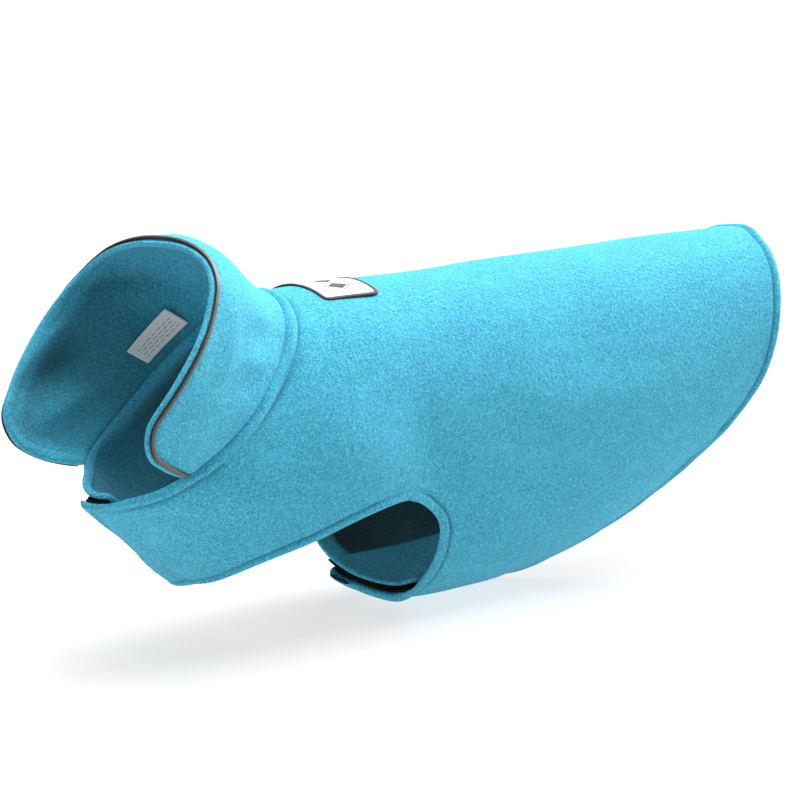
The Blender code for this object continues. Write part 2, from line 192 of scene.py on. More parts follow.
COLLAR_FOLDS = np.array([
    # angle  v      to_angle  to_v   width  height
    (50.0,   0.78,    86.0,    0.54,  13.0,   3.4),     # left side: two ridges with two dents between them
    (57.0,   0.12,    63.0,    0.43,  13.0,  -2.6),
    (87.0,   0.50,    77.0,    0.08,  13.0,  -2.8),
    (115.0,  0.82,   112.0,    0.15,  13.0,   2.2),
    (-54.0,  0.84,   -29.0,    0.27,  10.0,   4.2),     # right side: two ridges and two troughs, all slanting
    (-98.0,  0.78,   -72.0,    0.55,  14.0,   5.4),
    (-102.0, 0.98,   -70.0,    0.86,  11.0,  -3.8),
    (-110.0, 0.52,   -88.0,    0.24,  12.0,  -3.8),
])

# ---------------------------------------------------------------- sewing, mm
HEM_WIDTH = 9.5
NECK_BAND = 12.0           # the sewn band under the collar
HEM_TURN = 2.3             # extra thickness of the turned-in edge
HEM_PUFF = 1.45
GROOVE_DEPTH = 1.8
GROOVE_WIDTH = 1.25
EDGE_ROUND = 2.6           # radius of a turned edge
STITCH = dict(pitch=3.2, radius=0.24)
STITCH_DEPTH = {"outer_stitches": 0.62, "inner_stitches": FLEECE - 0.2}
TAPE_STITCH_DEPTH = 0.55
OVERLAP = 148.0            # past this angle one side of each face is covered by the other
TAPE_SEAM_DEPTH = 1.1
FLAP_CREASE = 164.0, 36.0          # a crease across the left flap: angle at the neck, degrees more for each u
FLAP_STEP = 2.1                    # how far the cloth sinks past it
STRAP_CREASE = 149.5, 42.0, 0.7    # a crease inside the right strap, shown only by painted shade: angle at its front end, slant, width
STRAP_PUFF = 3.4                   # swelling of the left strap's front hem
CORNER_PUFF = 1.7                  # swelling of the left flap's front corner
BELLY_PUFF = 2.6                   # swelling of the left strap's underside
PIPING = dict(seat=0.35, rise=1.45, half_height=1.55, pitch=2.4)
BORDER = dict(inset=1.0, depth=0.55, half_width=1.95, half_height=1.05, turns=190, wave=0.13)
INSIDE_PAINTED_SHADE = 0.16, 0.075, 0.06   # share of red, green and blue left where the inner face is in full painted shade, deep inside the coat

# The pattern of the back label, in metres: a row of lozenges between two rules.
LOZENGE = 0.0105, 0.0078           # half width and half height
LOZENGE_PITCH = 0.021
LOZENGE_ROW = 0.0315               # half the length of the row
RULE = dict(at=0.0155, half_width=0.0006, half_length=0.036)

# The pattern of the size label, in metres: rows of dashes.
DASH_ROW = 0.0026
DASH = dict(pitch=0.0061, gap=0.24, shift=0.37)
DASH_AREA = dict(middle=(0.025, 0.0075), half=(0.0195, 0.0052))

# Distances from a cloth edge at which the mesh has its lines.
EDGE_STEPS = np.array([0.0, 0.12, 0.4, 0.9, 1.6, 2.5, 3.6, 5.0, 6.4, 7.6, 8.6, 9.5, 10.4, 11.3, 12.2, 13.4,
                       16.0])
REACH = 24.0               # how far the sewing of an edge is felt

# ---------------------------------------------------------------- stage
LAMPS = {
    # name: azimuth, elevation, strength. Azimuth 0 is the coat's left side and 90 its tail.
    "overhead": (53.0, 89.0, 1.6),
    "rear_high": (143.0, 58.0, 1.5),
    "tail_high": (98.0, 58.0, 3.8),
    "tail_low": (98.0, 25.0, 3.2),
    "side_low": (53.0, 25.0, 0.45),
    "head_low": (323.0, 25.0, 0.1),
    "head_back": (283.0, 13.0, 0.5),
}
LAMP_WIDTH = 50.0          # degrees across, as seen from the coat
WORLD_GLOW = 0.02
FLOOR_GLOW = 0.7
FLOOR_HALF = 14.0          # metres from the middle of the floor to its edge
FLOOR_GAP = 0.0004         # metres between the coat and the floor
LENS = dict(length=140.4, sensor=36.0)      # mm
VIEW_SIZE = 800.0                  # side of the square view that SEAM_IN_VIEW is measured in
SEAM_IN_VIEW = 262.0, 290.0        # where the neck seam's centre back stands, from the left and from the top


# ================================================================ shape of the coat
def curve_through(x, knots_x, knots_y):
    """Cubic through the knots, with the slopes of their neighbours."""
    slopes = np.gradient(knots_y, knots_x)
    i = np.clip(np.searchsorted(knots_x, x) - 1, 0, len(knots_x) - 2)
    span = knots_x[i + 1] - knots_x[i]
    t = (x - knots_x[i]) / span
    start = (1 + 2 * t) * (1 - t) ** 2 * knots_y[i] + t * (1 - t) ** 2 * span * slopes[i]
    end = t * t * (3 - 2 * t) * knots_y[i + 1] + t * t * (t - 1) * span * slopes[i + 1]
    return start + end


def smooth_step(x, low, high):
    """0 below low, 1 above high, and 3t^2 - 2t^3 between them."""
    t = np.clip((x - low) / (high - low), 0.0, 1.0)
    return t * t * (3 - 2 * t)


def bell(x, centre, width):
    """Bell curve of height 1."""
    return np.exp(-((x - centre) / width) ** 2)


def unit(v):
    """Vectors of length 1."""
    return v / np.linalg.norm(v, axis=-1, keepdims=True)


def fold_height(places, folds, scale):
    """Sum of soft ridges and troughs. Each fades sideways as a bell curve and is highest half way along."""
    at = np.stack(places, -1) * scale
    height = np.zeros(at.shape[:-1])
    for fold in folds:
        start = fold[:2] * scale
        run = fold[2:4] * scale - start
        t = np.clip((at - start) @ run / (run @ run), 0.0, 1.0)
        off = np.linalg.norm(at - start - t[..., None] * run, axis=-1)
        height += fold[5] * (0.4 + 0.6 * np.sin(np.pi * t)) * np.exp(-(off / fold[4]) ** 2)
    return height


def body_shape(u, angle):
    """An egg-shaped ring for each u, tilted at the neck: centre + half height * cos + half width * sin."""
    s = {name: curve_through(u, STATIONS[:, 0], STATIONS[:, k + 1]) for k, name in enumerate(STATION_COLUMNS)}
    cos, sin = np.cos(np.radians(angle)), np.sin(np.radians(angle))
    half_x = (s["top_x"] - s["low_x"]) / 2
    half_z = (s["top_z"] - s["low_z"]) / 2
    tilt = np.hypot(half_x, half_z)
    along = cos * (1 + s["flat"] * sin ** 2 * (1 + cos) / 2)
    back = s["recede"] * sin ** 2 / tilt
    x = (s["top_x"] + s["low_x"]) / 2 + half_x * along + half_z * back
    y = -s["half_width"] * sin * (1 + s["egg"] * cos) + s["shift_y"] * (1 - cos) / 2
    z = (s["top_z"] + s["low_z"]) / 2 + half_z * along - half_x * back
    return np.stack([x, y, z], -1)


def body_face(u, angle, depth=0.0):
    """A point of the body's cloth, `depth` mm below its outer face: ring point - normal * depth, plus folds.

    The right side sinks below the left one where they overlap. The left strap's end and the left flap's rear
    corner are lifted, both by smooth steps.
    """
    u, angle = np.broadcast_arrays(np.asarray(u, float), np.asarray(angle, float))
    round_it = body_shape(u, angle + 0.2) - body_shape(u, angle - 0.2)
    along_it = body_shape(u + 0.001, angle) - body_shape(u - 0.001, angle)
    corner = smooth_step(u, 0.15, 0.25) ** 1.5 * (1 - smooth_step(u, 0.27, 0.35))
    corner = corner * smooth_step(angle, 170.0, 192.0)
    lift = STRAP_PEEL * smooth_step(angle, 192.0, STRAP_ENDS[1]) + FLAP_LIFT * corner
    tuck = BURIED * smooth_step(-angle, *TUCK) - lift
    folds = fold_height((u, angle), BODY_FOLDS, np.array([BODY_LENGTH, MM_PER_DEGREE]))
    folds = folds * (1 - smooth_step(np.abs(angle), *FOLDS_FADE))
    return body_shape(u, angle) - unit(np.cross(round_it, along_it)) * (tuck + depth - folds)[..., None]


def collar_shape(angle, v):
    """Seam point + lean * v + an outward arch 4v(1 - v) and roll 6.75v^2(1 - v), with v from 0 to 1."""
    a = np.abs(angle)
    forward, left, right, up, left_arch, right_arch, roll = (
        curve_through(a, COLLAR_LEAN[:, 0], COLLAR_LEAN[:, k]) for k in range(1, 8))
    out = np.where(angle >= 0, -left, right)
    lean = np.stack([forward, out, up], -1)
    turn = np.radians(angle + COLLAR_TURN)
    outwards = np.stack([0.38 * np.cos(turn), -np.sin(turn), 0.77 * np.cos(turn)], -1)
    arch = np.where(angle >= 0, left_arch, right_arch)
    swell = 4 * v * (1 - v) * arch + 6.75 * v * v * (1 - v) * roll
    return body_face(0.0, angle + COLLAR_TURN) + lean * v[..., None] + outwards * swell[..., None]


def collar_face(angle, v, depth=0.0):
    """A point of the collar, `depth` mm below its outer face."""
    angle, v = np.broadcast_arrays(np.asarray(angle, float), np.asarray(v, float))
    round_it = collar_shape(angle + 0.3, v) - collar_shape(angle - 0.3, v)
    up_it = collar_shape(angle, v + 0.003) - collar_shape(angle, v - 0.003)
    mm_per_degree = COLLAR_HALF_LENGTH / COLLAR_END
    folds = fold_height((angle, v), COLLAR_FOLDS, np.array([mm_per_degree, COLLAR_HEIGHT]))
    return collar_shape(angle, v) - unit(np.cross(up_it, round_it)) * (depth - folds)[..., None]


def collar_top(angle, inset=0.0):
    """v at the collar's edge, or `inset` inside it: 1, falling as a quarter circle at each end."""
    radius = COLLAR_CORNER - inset
    from_end = COLLAR_HALF_LENGTH * (1 - np.abs(angle) / COLLAR_END) - inset
    k = np.clip(1 - from_end / radius, 0.0, 0.9995)
    return 1 - (inset + (1 - np.sqrt(1 - k * k)) * radius) / COLLAR_HEIGHT


def armhole(angle, side):
    """u of the armhole's front edge and rear edge, smooth in the square root of the angle below its top."""
    w = np.sqrt(np.maximum(angle - ARMHOLE_TOP, 0.0))
    knots = np.sqrt(ARMHOLE[:, 0] - ARMHOLE_TOP)
    rear_left = curve_through(w, knots, ARMHOLE[:, 2])
    rear_right = curve_through(w, knots, ARMHOLE[:, 3])
    return curve_through(w, knots, ARMHOLE[:, 1]), np.where(np.asarray(side) > 0, rear_left, rear_right)


def corner_cut(v, length):
    """How far a rounded end is cut back at each share v of its length, mm: a quarter circle at each side."""
    from_edge = np.minimum(v, 1 - v) * length
    k = np.clip(1 - from_edge / FLAP_CORNER, 0.0, 0.995)
    return FLAP_CORNER * (1 - np.sqrt(1 - k * k))


# ================================================================ meshes
def to_world(points):
    """Millimetres from the neck seam to metres from the withers."""
    return (points - np.array([WITHERS, 0.0, -FLEECE])) * MM


def grid_quads(rows, columns, start=0, closed=False):
    """Four corners of each cell of a rows x columns grid; `closed` joins the last column to the first."""
    i, j = np.meshgrid(np.arange(rows - 1), np.arange(columns if closed else columns - 1), indexing="ij")
    i, j = i.ravel(), j.ravel()
    right = (j + 1) % columns
    return start + np.stack([i * columns + j, (i + 1) * columns + j, (i + 1) * columns + right,
                             i * columns + right], -1)


def facing_out(points, quads):
    """Turns all cells round if the volume that they hold, a sum of p . (q x r) / 6, is negative."""
    a, b, c, d = (points[quads[:, k]] for k in range(4))
    volume = (a * np.cross(b, c)).sum() + (a * np.cross(c, d)).sum()
    return quads if volume > 0 else quads[:, ::-1]


def mesh_object(name, points, quads, finish, uv=None, attributes=None, merge=0.0, slot=None):
    """Puts points in mm and quads into a new object, with its UV map and point attributes.

    Points nearer than `merge` mm become one: they are rounded to that size and numbered by what is left.
    """
    points = to_world(np.asarray(points, float).reshape(-1, 3))
    quads = facing_out(points, np.asarray(quads, int).reshape(-1, 4))
    if merge:
        key = np.round(points / (merge * MM)).astype(np.int64)
        _, first, number = np.unique(key, axis=0, return_index=True, return_inverse=True)
        number = number.ravel()
    else:
        first = number = np.arange(len(points))
    corners = number[quads]
    following = np.roll(corners, -1, 1)
    keep = corners != following
    count = keep.sum(1)
    whole = count >= 3
    keep &= whole[:, None]
    loops = corners[keep]
    count = count[whole]
    mesh = bpy.data.meshes.new(name)
    mesh.vertices.add(len(first))
    mesh.vertices.foreach_set("co", points[first].ravel())
    mesh.loops.add(len(loops))
    mesh.loops.foreach_set("vertex_index", loops)
    mesh.polygons.add(len(count))
    mesh.polygons.foreach_set("loop_start", np.concatenate([[0], np.cumsum(count)[:-1]]))
    mesh.polygons.foreach_set("use_smooth", np.ones(len(count), bool))
    if uv is not None:
        layer = mesh.uv_layers.new(name="cloth")
        layer.data.foreach_set("uv", np.asarray(uv, float).reshape(-1, 2)[quads][keep].ravel())
    for key, values in (attributes or {}).items():
        layer = mesh.attributes.new(key, "FLOAT", "POINT")
        layer.data.foreach_set("value", np.asarray(values, float).ravel()[first])
    mesh.update()
    mesh.validate()
    made = bpy.data.objects.new(name, mesh)
    bpy.context.scene.collection.objects.link(made)
    mesh.materials.append(finish)
    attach(made, "root")
    return made


def even_steps(length, count, closer=None):
    """Positions in mm along rows of the given lengths: close together at both edges, and even between or
    `closer` together towards the "first" or the "last" edge."""
    length = np.asarray(length, float).reshape(-1, 1)
    middle = np.linspace(0.0, 1.0, count + 2)[1:-1]
    if closer:
        middle = middle ** 1.6 if closer == "first" else 1 - (1 - middle) ** 1.6
    deep = EDGE_STEPS[-1]
    low = np.broadcast_to(EDGE_STEPS, (len(length), len(EDGE_STEPS)))
    return np.concatenate([low, deep + (length - 2 * deep) * middle, length - low[:, ::-1]], 1)


def row_angles(end):
    """Angles from the spine to the end of a flap or strap: even steps, and closer ones at the armhole's top,
    at the strap's crease and at the end."""
    per_mm = 1 / MM_PER_DEGREE
    above = ARMHOLE_TOP - np.append(EDGE_STEPS * per_mm, [9.4, 11.3])[::-1]
    below = ARMHOLE_TOP + np.arange(0.2, 4.9, 0.2) ** 2
    last = end - EDGE_STEPS[::-1] * per_mm
    between = np.linspace(below[-1], last[0], int((last[0] - below[-1]) / 1.6) + 1)[1:-1]
    crease = STRAP_CREASE[0] + np.arange(-6.0, 1.1, 0.6)
    apart = (between < crease[0] - 0.7) | (between > crease[-1] + 0.7)
    between = np.sort(np.concatenate([between[apart], crease]))
    return np.concatenate([np.arange(0.0, above[0] - 1.0, 2.0), above, below, between, last])


def panel_places(part):
    """u and angle of every mesh point of the front or the rear half of the body panel, both sides at once."""
    ends = FLAP_ENDS if part == "front" else STRAP_ENDS
    rows = np.concatenate([-row_angles(ends[-1])[:0:-1], row_angles(ends[1])])
    size = np.abs(rows)
    front, rear = armhole(size, rows)
    if part == "front":
        low, high, count, closer = np.zeros_like(rows), front, 34, "last"
    else:
        low, high, count, closer = rear, curve_through(size, HEM[:, 0], HEM[:, 1]), 58, "first"
    edge = np.linalg.norm(body_shape(high, rows) - body_shape(low, rows), axis=-1)
    v = even_steps(edge, count, closer) / edge[:, None]
    end = np.where(rows >= 0, ends[1], ends[-1])
    share = smooth_step(size, end - CORNER_SPREAD, end)[:, None]
    pull = corner_cut(v, END_WIDTH[part]) * DEGREES_PER_MM - END_SLANT[part] * v * v
    angle = np.sign(rows)[:, None] * (size[:, None] - share * pull)
    return low[:, None] + (high - low)[:, None] * v, angle, rows


def nearest_edge(points, lines):
    """For each point: mm to the nearest of the lines, mm along that line, and which line it is.

    The foot of the perpendicular on each straight piece is found for all points near that piece at once.
    """
    flat = points.reshape(-1, 3)
    best = np.full(len(flat), REACH)
    along = np.zeros(len(flat))
    which = np.full(len(flat), -1)
    for number, line in enumerate(lines):
        pieces = np.diff(line, axis=0)
        long = np.maximum(np.linalg.norm(pieces, axis=1), 1e-6)
        start = np.concatenate([[0.0], np.cumsum(long)[:-1]])
        for first in range(0, len(pieces), 16):
            part = slice(first, first + 16)
            ends = line[first:first + 17]
            near = np.flatnonzero(((flat > ends.min(0) - REACH) & (flat < ends.max(0) + REACH)).all(1))
            if not len(near):
                continue
            to = flat[near, None] - line[:-1][part]
            t = np.clip((to * pieces[part]).sum(-1) / long[part] ** 2, 0.0, 1.0)
            off = np.linalg.norm(to - t[..., None] * pieces[part], axis=-1)
            k = off.argmin(1)
            off = off[np.arange(len(near)), k]
            closer = off < best[near]
            hit = near[closer]
            best[hit] = off[closer]
            along[hit] = (start[part][k] + t[np.arange(len(near)), k] * long[part][k])[closer]
            which[hit] = number
    shape = points.shape[:-1]
    return best.reshape(shape), along.reshape(shape), which.reshape(shape)


def hem_band(u, angle):
    """Width of the sewn band along each edge: wider under the collar than along the other edges."""
    under_collar = (1 - smooth_step(np.abs(angle), 104.0, 124.0)) * (1 - smooth_step(u, 0.06, 0.10))
    return HEM_WIDTH + (NECK_BAND - HEM_WIDTH) * under_collar


def groove_share(u, angle):
    """Share of the groove's full depth: it fades over the armhole's top, where the hem lies flat."""
    off = np.hypot((u - 0.368) * BODY_LENGTH / 25.0, (angle - ARMHOLE_TOP + 4.0) * MM_PER_DEGREE / 15.0)
    return 1 - 0.88 * bell(off, 0.0, 1.0)


def sewn_layers(s, t, band, share):
    """Depths in mm of the outer and the inner face, s mm from an edge and t mm along it.

    The turned-in band swells as sin^2 between the edge and the stitch line, and the stitch line is a
    bell-shaped groove that is deeper at each stitch. Both are scaled by their share.
    """
    uneven = 1 + 0.16 * np.sin(t / 9.1) + 0.12 * np.sin(t / 23.7 + 1.3) + 0.08 * np.sin(t / 4.3 + 0.6)
    dents = 0.85 + 0.15 * np.cos(2 * np.pi * t / STITCH["pitch"])
    groove = bell(s, band, GROOVE_WIDTH) * GROOVE_DEPTH * dents * share
    swell = np.sin(np.pi * np.clip(s / band, 0.0, 1.0)) ** 2 * HEM_PUFF * uneven * (band / HEM_WIDTH) ** 2
    swell = swell * (0.6 + 0.4 * share)
    outer = groove - swell - 0.3 * bell(s, band + 3.4, 2.6) * uneven
    inner = FLEECE + HEM_TURN * (1 - smooth_step(s, band - 0.4, band + 1.8)) - 0.5 * groove + 0.5 * swell
    return outer, inner


def round_edge(s, outer, inner, radius=EDGE_ROUND):
    """Brings both faces together at s = 0 along a half circle."""
    k = 1 - np.clip(s / radius, 0.0, 1.0)
    open_by = np.sqrt(1 - k * k)
    middle = (outer + inner) / 2
    return middle + (outer - middle) * open_by, middle + (inner - middle) * open_by


def path_length(points):
    """Distance in mm along a line of points."""
    return np.concatenate([[0.0], np.cumsum(np.linalg.norm(np.diff(points, axis=0), axis=1))])


def inset_path(face, a, b, distance):
    """Places `distance` mm beside a line of places (a, b) on a surface, on the side that the normal turns to.

    The step beside the line is the cross product of its direction and the surface normal, and it is turned
    into steps of a and b by least squares with the surface's own two slopes.
    """
    fine = 1e-3
    slope_a = (face(a + fine, b) - face(a - fine, b)) / (2 * fine)
    slope_b = (face(a, b + fine) - face(a, b - fine)) / (2 * fine)
    ahead = unit(np.gradient(face(a, b), axis=0))
    beside = unit(np.cross(ahead, np.cross(slope_a, slope_b))) * np.asarray(distance)[..., None]
    aa, bb, ab = (slope_a ** 2).sum(-1), (slope_b ** 2).sum(-1), (slope_a * slope_b).sum(-1)
    pa, pb = (slope_a * beside).sum(-1), (slope_b * beside).sum(-1)
    below = aa * bb - ab * ab
    return a + (pa * bb - pb * ab) / below, b + (pb * aa - pa * ab) / below


def even_path(face, a, b, step):
    """The same line of places with a point every `step` mm, by straight interpolation on its length."""
    length = path_length(face(a, b))
    at = np.linspace(0.0, length[-1], int(length[-1] / step) + 1)
    return np.interp(at, length, a), np.interp(at, length, b)


def carried_profile(path, across, up, profile):
    """A profile of (across, up) points carried along a path: path + across * x + up * y."""
    return path[:, None] + across[:, None] * profile[..., 0, None] + up[:, None] * profile[..., 1, None]


def tube_quads(rows, columns):
    """Cells of a closed profile along an open path, and a fan of cells over each end."""
    half = np.arange(columns // 2 - 1)
    start = np.stack([half, half + 1, columns - 2 - half, columns - 1 - half], -1)
    end = start[:, ::-1] + (rows - 1) * columns
    return np.concatenate([grid_quads(rows, columns, closed=True), start, end])


# ================================================================ finishes
def new_finish(name, roughness, sheen=0.0, sheen_roughness=0.5, sheen_tint=(1, 1, 1), specular=0.3):
    """A material with constants on its own sockets. Returns it with its tree and shader."""
    finish = bpy.data.materials.new(name)
    finish.use_nodes = True
    tree = finish.node_tree
    shader = tree.nodes["Principled BSDF"]
    shader.inputs["Roughness"].default_value = roughness
    shader.inputs["Specular IOR Level"].default_value = specular
    shader.inputs["Sheen Weight"].default_value = sheen
    shader.inputs["Sheen Roughness"].default_value = sheen_roughness
    shader.inputs["Sheen Tint"].default_value = (*sheen_tint, 1.0)
    return finish, tree, shader


def add_node(tree, kind, settings=None, inputs=None):
    """A node with settings on itself and values or links on its inputs."""
    node = tree.nodes.new(kind)
    for key, value in (settings or {}).items():
        setattr(node, key, value)
    for key, value in (inputs or {}).items():
        if isinstance(value, bpy.types.NodeSocket):
            tree.links.new(value, node.inputs[key])
        else:
            node.inputs[key].default_value = value
    return node


def sums(tree, operation, *values):
    """One Math node."""
    node = add_node(tree, "ShaderNodeMath", {"operation": operation})
    for k, value in enumerate(values):
        if isinstance(value, bpy.types.NodeSocket):
            tree.links.new(value, node.inputs[k])
        else:
            node.inputs[k].default_value = value
    return node.outputs[0]


def blended(tree, factor, first, second):
    """Mixes two colours by a factor."""
    node = add_node(tree, "ShaderNodeMix", {"data_type": "RGBA"})
    for socket, value in ((0, factor), (6, first), (7, second)):
        if isinstance(value, bpy.types.NodeSocket):
            tree.links.new(value, node.inputs[socket])
        else:
            node.inputs[socket].default_value = value if socket == 0 else (*value[:3], 1.0)
    return node.outputs[2]


def ramp(tree, value, low, high):
    """Straight line from 0 at low to 1 at high."""
    node = add_node(tree, "ShaderNodeMapRange", {"clamp": True},
                    {"Value": value, "From Min": low, "From Max": high})
    return node.outputs[0]


def bumped(tree, shader, heights):
    """Chains Bump nodes: (height, strength, distance in m) each, the last one nearest the shader."""
    normal = None
    for height, strength, distance in heights:
        node = add_node(tree, "ShaderNodeBump", None,
                        {"Height": height, "Strength": strength, "Distance": distance})
        if normal is not None:
            tree.links.new(normal, node.inputs["Normal"])
        normal = node.outputs[0]
    tree.links.new(normal, shader.inputs["Normal"])


def object_noise(tree, scale, detail=3.0, rough=0.55, stretch=(1.0, 1.0, 1.0)):
    """Noise on Object coordinates with features of about 1/scale metres."""
    place = add_node(tree, "ShaderNodeTexCoord").outputs["Object"]
    mapping = add_node(tree, "ShaderNodeMapping", None, {"Vector": place, "Scale": stretch})
    noise = add_node(tree, "ShaderNodeTexNoise", None, {"Vector": mapping.outputs[0], "Scale": scale,
                                                        "Detail": detail, "Roughness": rough})
    return noise.outputs[0]


def brushed_fleece(colour, nap):
    """Fleece: small curled tufts, larger brushed patches, a soft sheen, and painted shade in grooves and on
    the inner face.
    """
    finish, tree, shader = new_finish("brushed_fleece", 0.95, 0.26, 0.42, (0.6, 0.88, 1.0), 0.12)
    tufts = object_noise(tree, 1 / (nap * MM), 4.0, 0.62, (1.0, 0.8, 1.15))
    curls = object_noise(tree, 1 / (2.6 * nap * MM), 2.0, 0.6)
    patches = object_noise(tree, 34.0, 3.0, 0.6, (1.0, 1.0, 1.6))
    dark = tuple(c * 0.58 for c in colour)
    light = tuple(min(1.0, c * 1.28 + 0.015) for c in colour)
    base = blended(tree, ramp(tree, tufts, 0.41, 0.59), dark, light)
    base = blended(tree, sums(tree, "MULTIPLY", ramp(tree, curls, 0.60, 0.40), 0.40), base, dark)
    base = blended(tree, sums(tree, "MULTIPLY", ramp(tree, patches, 0.5, 0.72), 0.22), base, light)
    # Painted shade: the colour darkens along the marked grooves, seams and creases, where shade would fall.
    seam = add_node(tree, "ShaderNodeAttribute", {"attribute_name": "groove_painted_shade"}).outputs["Fac"]
    deep = tuple(c * 0.45 for c in colour)
    base = blended(tree, sums(tree, "MULTIPLY", seam, 0.7), base, deep)
    # Painted shade: the inner face darkens towards a share of each channel, more the deeper inside the coat.
    inside = add_node(tree, "ShaderNodeAttribute", {"attribute_name": "inside"}).outputs["Fac"]
    base = blended(tree, inside, base, tuple(c * k for c, k in zip(colour, INSIDE_PAINTED_SHADE)))
    tree.links.new(base, shader.inputs["Base Color"])
    bumped(tree, shader, [(patches, 0.25, 0.004), (curls, 0.95, 0.0021), (tufts, 1.0, 0.0017)])
    return finish


def sewing_thread(name, colour):
    """Polyester thread: twisted, a little shiny."""
    finish, tree, shader = new_finish(name, 0.55, 0.2, 0.4, (1, 1, 1), 0.4)
    strands = object_noise(tree, 2600.0, 2.0)
    light = tuple(min(1.0, c * 1.2 + 0.01) for c in colour)
    base = blended(tree, strands, tuple(c * 0.7 for c in colour), light)
    tree.links.new(base, shader.inputs["Base Color"])
    bumped(tree, shader, [(strands, 0.5, 0.0003)])
    return finish


# ================================================================ pieces
def shell_object(name, sides, finish, uv=None, attributes=None, slot=None):
    """A closed sheet: each of `sides` is an outer and an inner grid of points that meet at their edges."""
    points, quads, start = [], [], 0
    for outer, inner in sides:
        rows, columns = outer.shape[:2]
        for grid, flip in ((outer, False), (inner, True)):
            cells = grid_quads(rows, columns, start)
            quads.append(cells[:, ::-1] if flip else cells)
            points.append(grid.reshape(-1, 3))
            start += rows * columns
    points, quads = np.concatenate(points), np.concatenate(quads)
    return mesh_object(name, points, quads, finish, uv, attributes, 0.02, slot)


def panel_outline(front, rear):
    """The panel's whole cut edge as one closed line of places, with the cloth always on the same side.

    It runs along the neck from right to left, round the left flap, armhole and strap, back along the hem
    and up the right side. front and rear are the (u, angle) grids and the row angles.
    """
    rows = front[2]
    left = np.flatnonzero(rows >= ARMHOLE_TOP)
    right = np.flatnonzero(rows <= -ARMHOLE_TOP)
    parts = []
    for k in (0, 1):
        f, r = front[k], rear[k]
        parts.append(np.concatenate([
            f[:, 0], f[-1, 1:], f[left[::-1], -1][1:], r[left, 0][1:], r[-1, 1:], r[::-1, -1][1:],
            r[0, ::-1][1:], r[right, 0][1:], f[right[::-1], -1][1:], f[0, ::-1][1:]]))
    return parts


def tape_places(place, kind):
    """Angles along a tape, and its lowest and highest u at each of them."""
    tape = TAPES[place]
    first, last = tape["angles"]
    if kind == "hook":
        last = last + tape["hook_extra"]
    angles = np.linspace(first, last, int((last - first) / 0.8) + 1)
    if place == "chest":
        return angles, np.full_like(angles, tape["before"]), armhole(angles, 1)[0] - tape["behind"]
    low = armhole(360.0 - angles, -1)[1] if kind == "hook" else armhole(np.minimum(angles, 207.0), 1)[1]
    return angles, low + tape["before"], low + tape["covered"]


def flap_crease(u, angle):
    """Mm past the crease across the left flap, and the share of its depth that each u has."""
    past = (angle - (FLAP_CREASE[0] + FLAP_CREASE[1] * u)) * MM_PER_DEGREE
    return past, smooth_step(u, 0.012, 0.024) * (1 - smooth_step(u, 0.235, 0.25))


def tape_seam():
    """The stitched rectangle that holds the belly's loop tape: a closed line of places on the left side."""
    inner = slice(3, -3)
    angles, low, high = (line[inner] for line in tape_places("belly", "loop"))
    low, high = low + TAPE_STITCH, high - TAPE_STITCH
    across = np.linspace(0.0, 1.0, 40)
    u = np.concatenate([low[0] + (high[0] - low[0]) * across, high, high[-1] + (low[-1] - high[-1]) * across,
                        low[::-1]])
    angle = np.concatenate([np.full(40, angles[0]), angles, np.full(40, angles[-1]), angles[::-1]])
    return np.append(u, u[0]), np.append(angle, angle[0])


def below_crease(u, angle):
    """Degrees below the slanting crease inside the right strap."""
    return -angle - STRAP_CREASE[0] + STRAP_CREASE[1] * (u - 0.465)


def own_side_edges(outline, outline_angle, side):
    """The parts of the cut edge that belong to one side, and how far along the whole edge each begins.

    Where the two sides overlap, a layer then feels its own edges only.
    """
    keep = outline_angle * side > -40.0
    runs = np.split(np.arange(len(keep)), np.flatnonzero(np.diff(keep.astype(int))) + 1)
    runs = [run for run in runs if keep[run[0]] and len(run) > 1]
    return [outline[run] for run in runs], path_length(outline)[[run[0] for run in runs]]


def inner_shade(u, angle, s):
    """Painted shade on the inner face, 0 to 1: more deep inside the coat, less by an edge and on the strap.
    """
    deep = 0.30 + 0.46 * (1 - smooth_step(np.abs(angle), 88.0, 128.0)) * smooth_step(s, 12.0, 24.0)
    deep = deep + (1.0 - 0.12 * smooth_step(u, 0.46, 0.56) - deep) * smooth_step(u, 0.17, 0.30)
    strap = smooth_step(below_crease(u, angle), -0.3, 0.3)
    deep = deep * (1 - strap * (1 - 0.12 * smooth_step(u, 0.47, 0.56)))
    rear = smooth_step(u, 0.41, 0.43) * smooth_step(-angle, 110.0, 130.0)
    return deep * smooth_step(s, 7.0 + 7.0 * rear, 14.0 + 8.0 * rear)


def felt_edge(flat, angle, outline, outline_angle):
    """Mm from each point to the cut edge of its own side, and mm along that edge."""
    felt = []
    for side in (1, -1):
        lines, begins = own_side_edges(outline, outline_angle, side)
        off, run, line = nearest_edge(flat, lines)
        felt.append((off, run + begins[line]))
    s, t = (np.where(angle >= 0, left, right) for left, right in zip(*felt))
    return np.where(s < 1e-6, 0.0, s), t


def left_side_relief(u, angle, s, seam):
    """Depth in mm that the left flap and strap add to the outer face, `seam` mm from the tape's stitches.

    The stitches lie in a bell-shaped groove, the cloth past the flap's crease lies deeper by a smooth step
    that fades, and the flap's front corner, the strap's front hem and its underside swell as bells.
    """
    past, share = flap_crease(u, angle)
    step = smooth_step(past, -1.4, 0.4) * (1 - smooth_step(past, 3.0, 18.0))
    relief = TAPE_SEAM_DEPTH * bell(seam, 0.0, 1.1) - 0.55 * bell(seam, 3.4, 2.4)
    relief = relief + (FLAP_STEP * step - 0.7 * bell(past, -2.6, 2.2)) * share
    strap = smooth_step(angle, 160.0, 178.0) * smooth_step(u, 0.40, 0.45)
    corner = smooth_step(angle, 164.0, 180.0) * (1 - smooth_step(u, 0.02, 0.12))
    relief = relief - STRAP_PUFF * bell(s, 4.4, 4.2) * strap - CORNER_PUFF * bell(s, 3.6, 4.4) * corner
    return relief - BELLY_PUFF * bell(u, 0.515, 0.035) * smooth_step(angle, 150.0, 172.0)


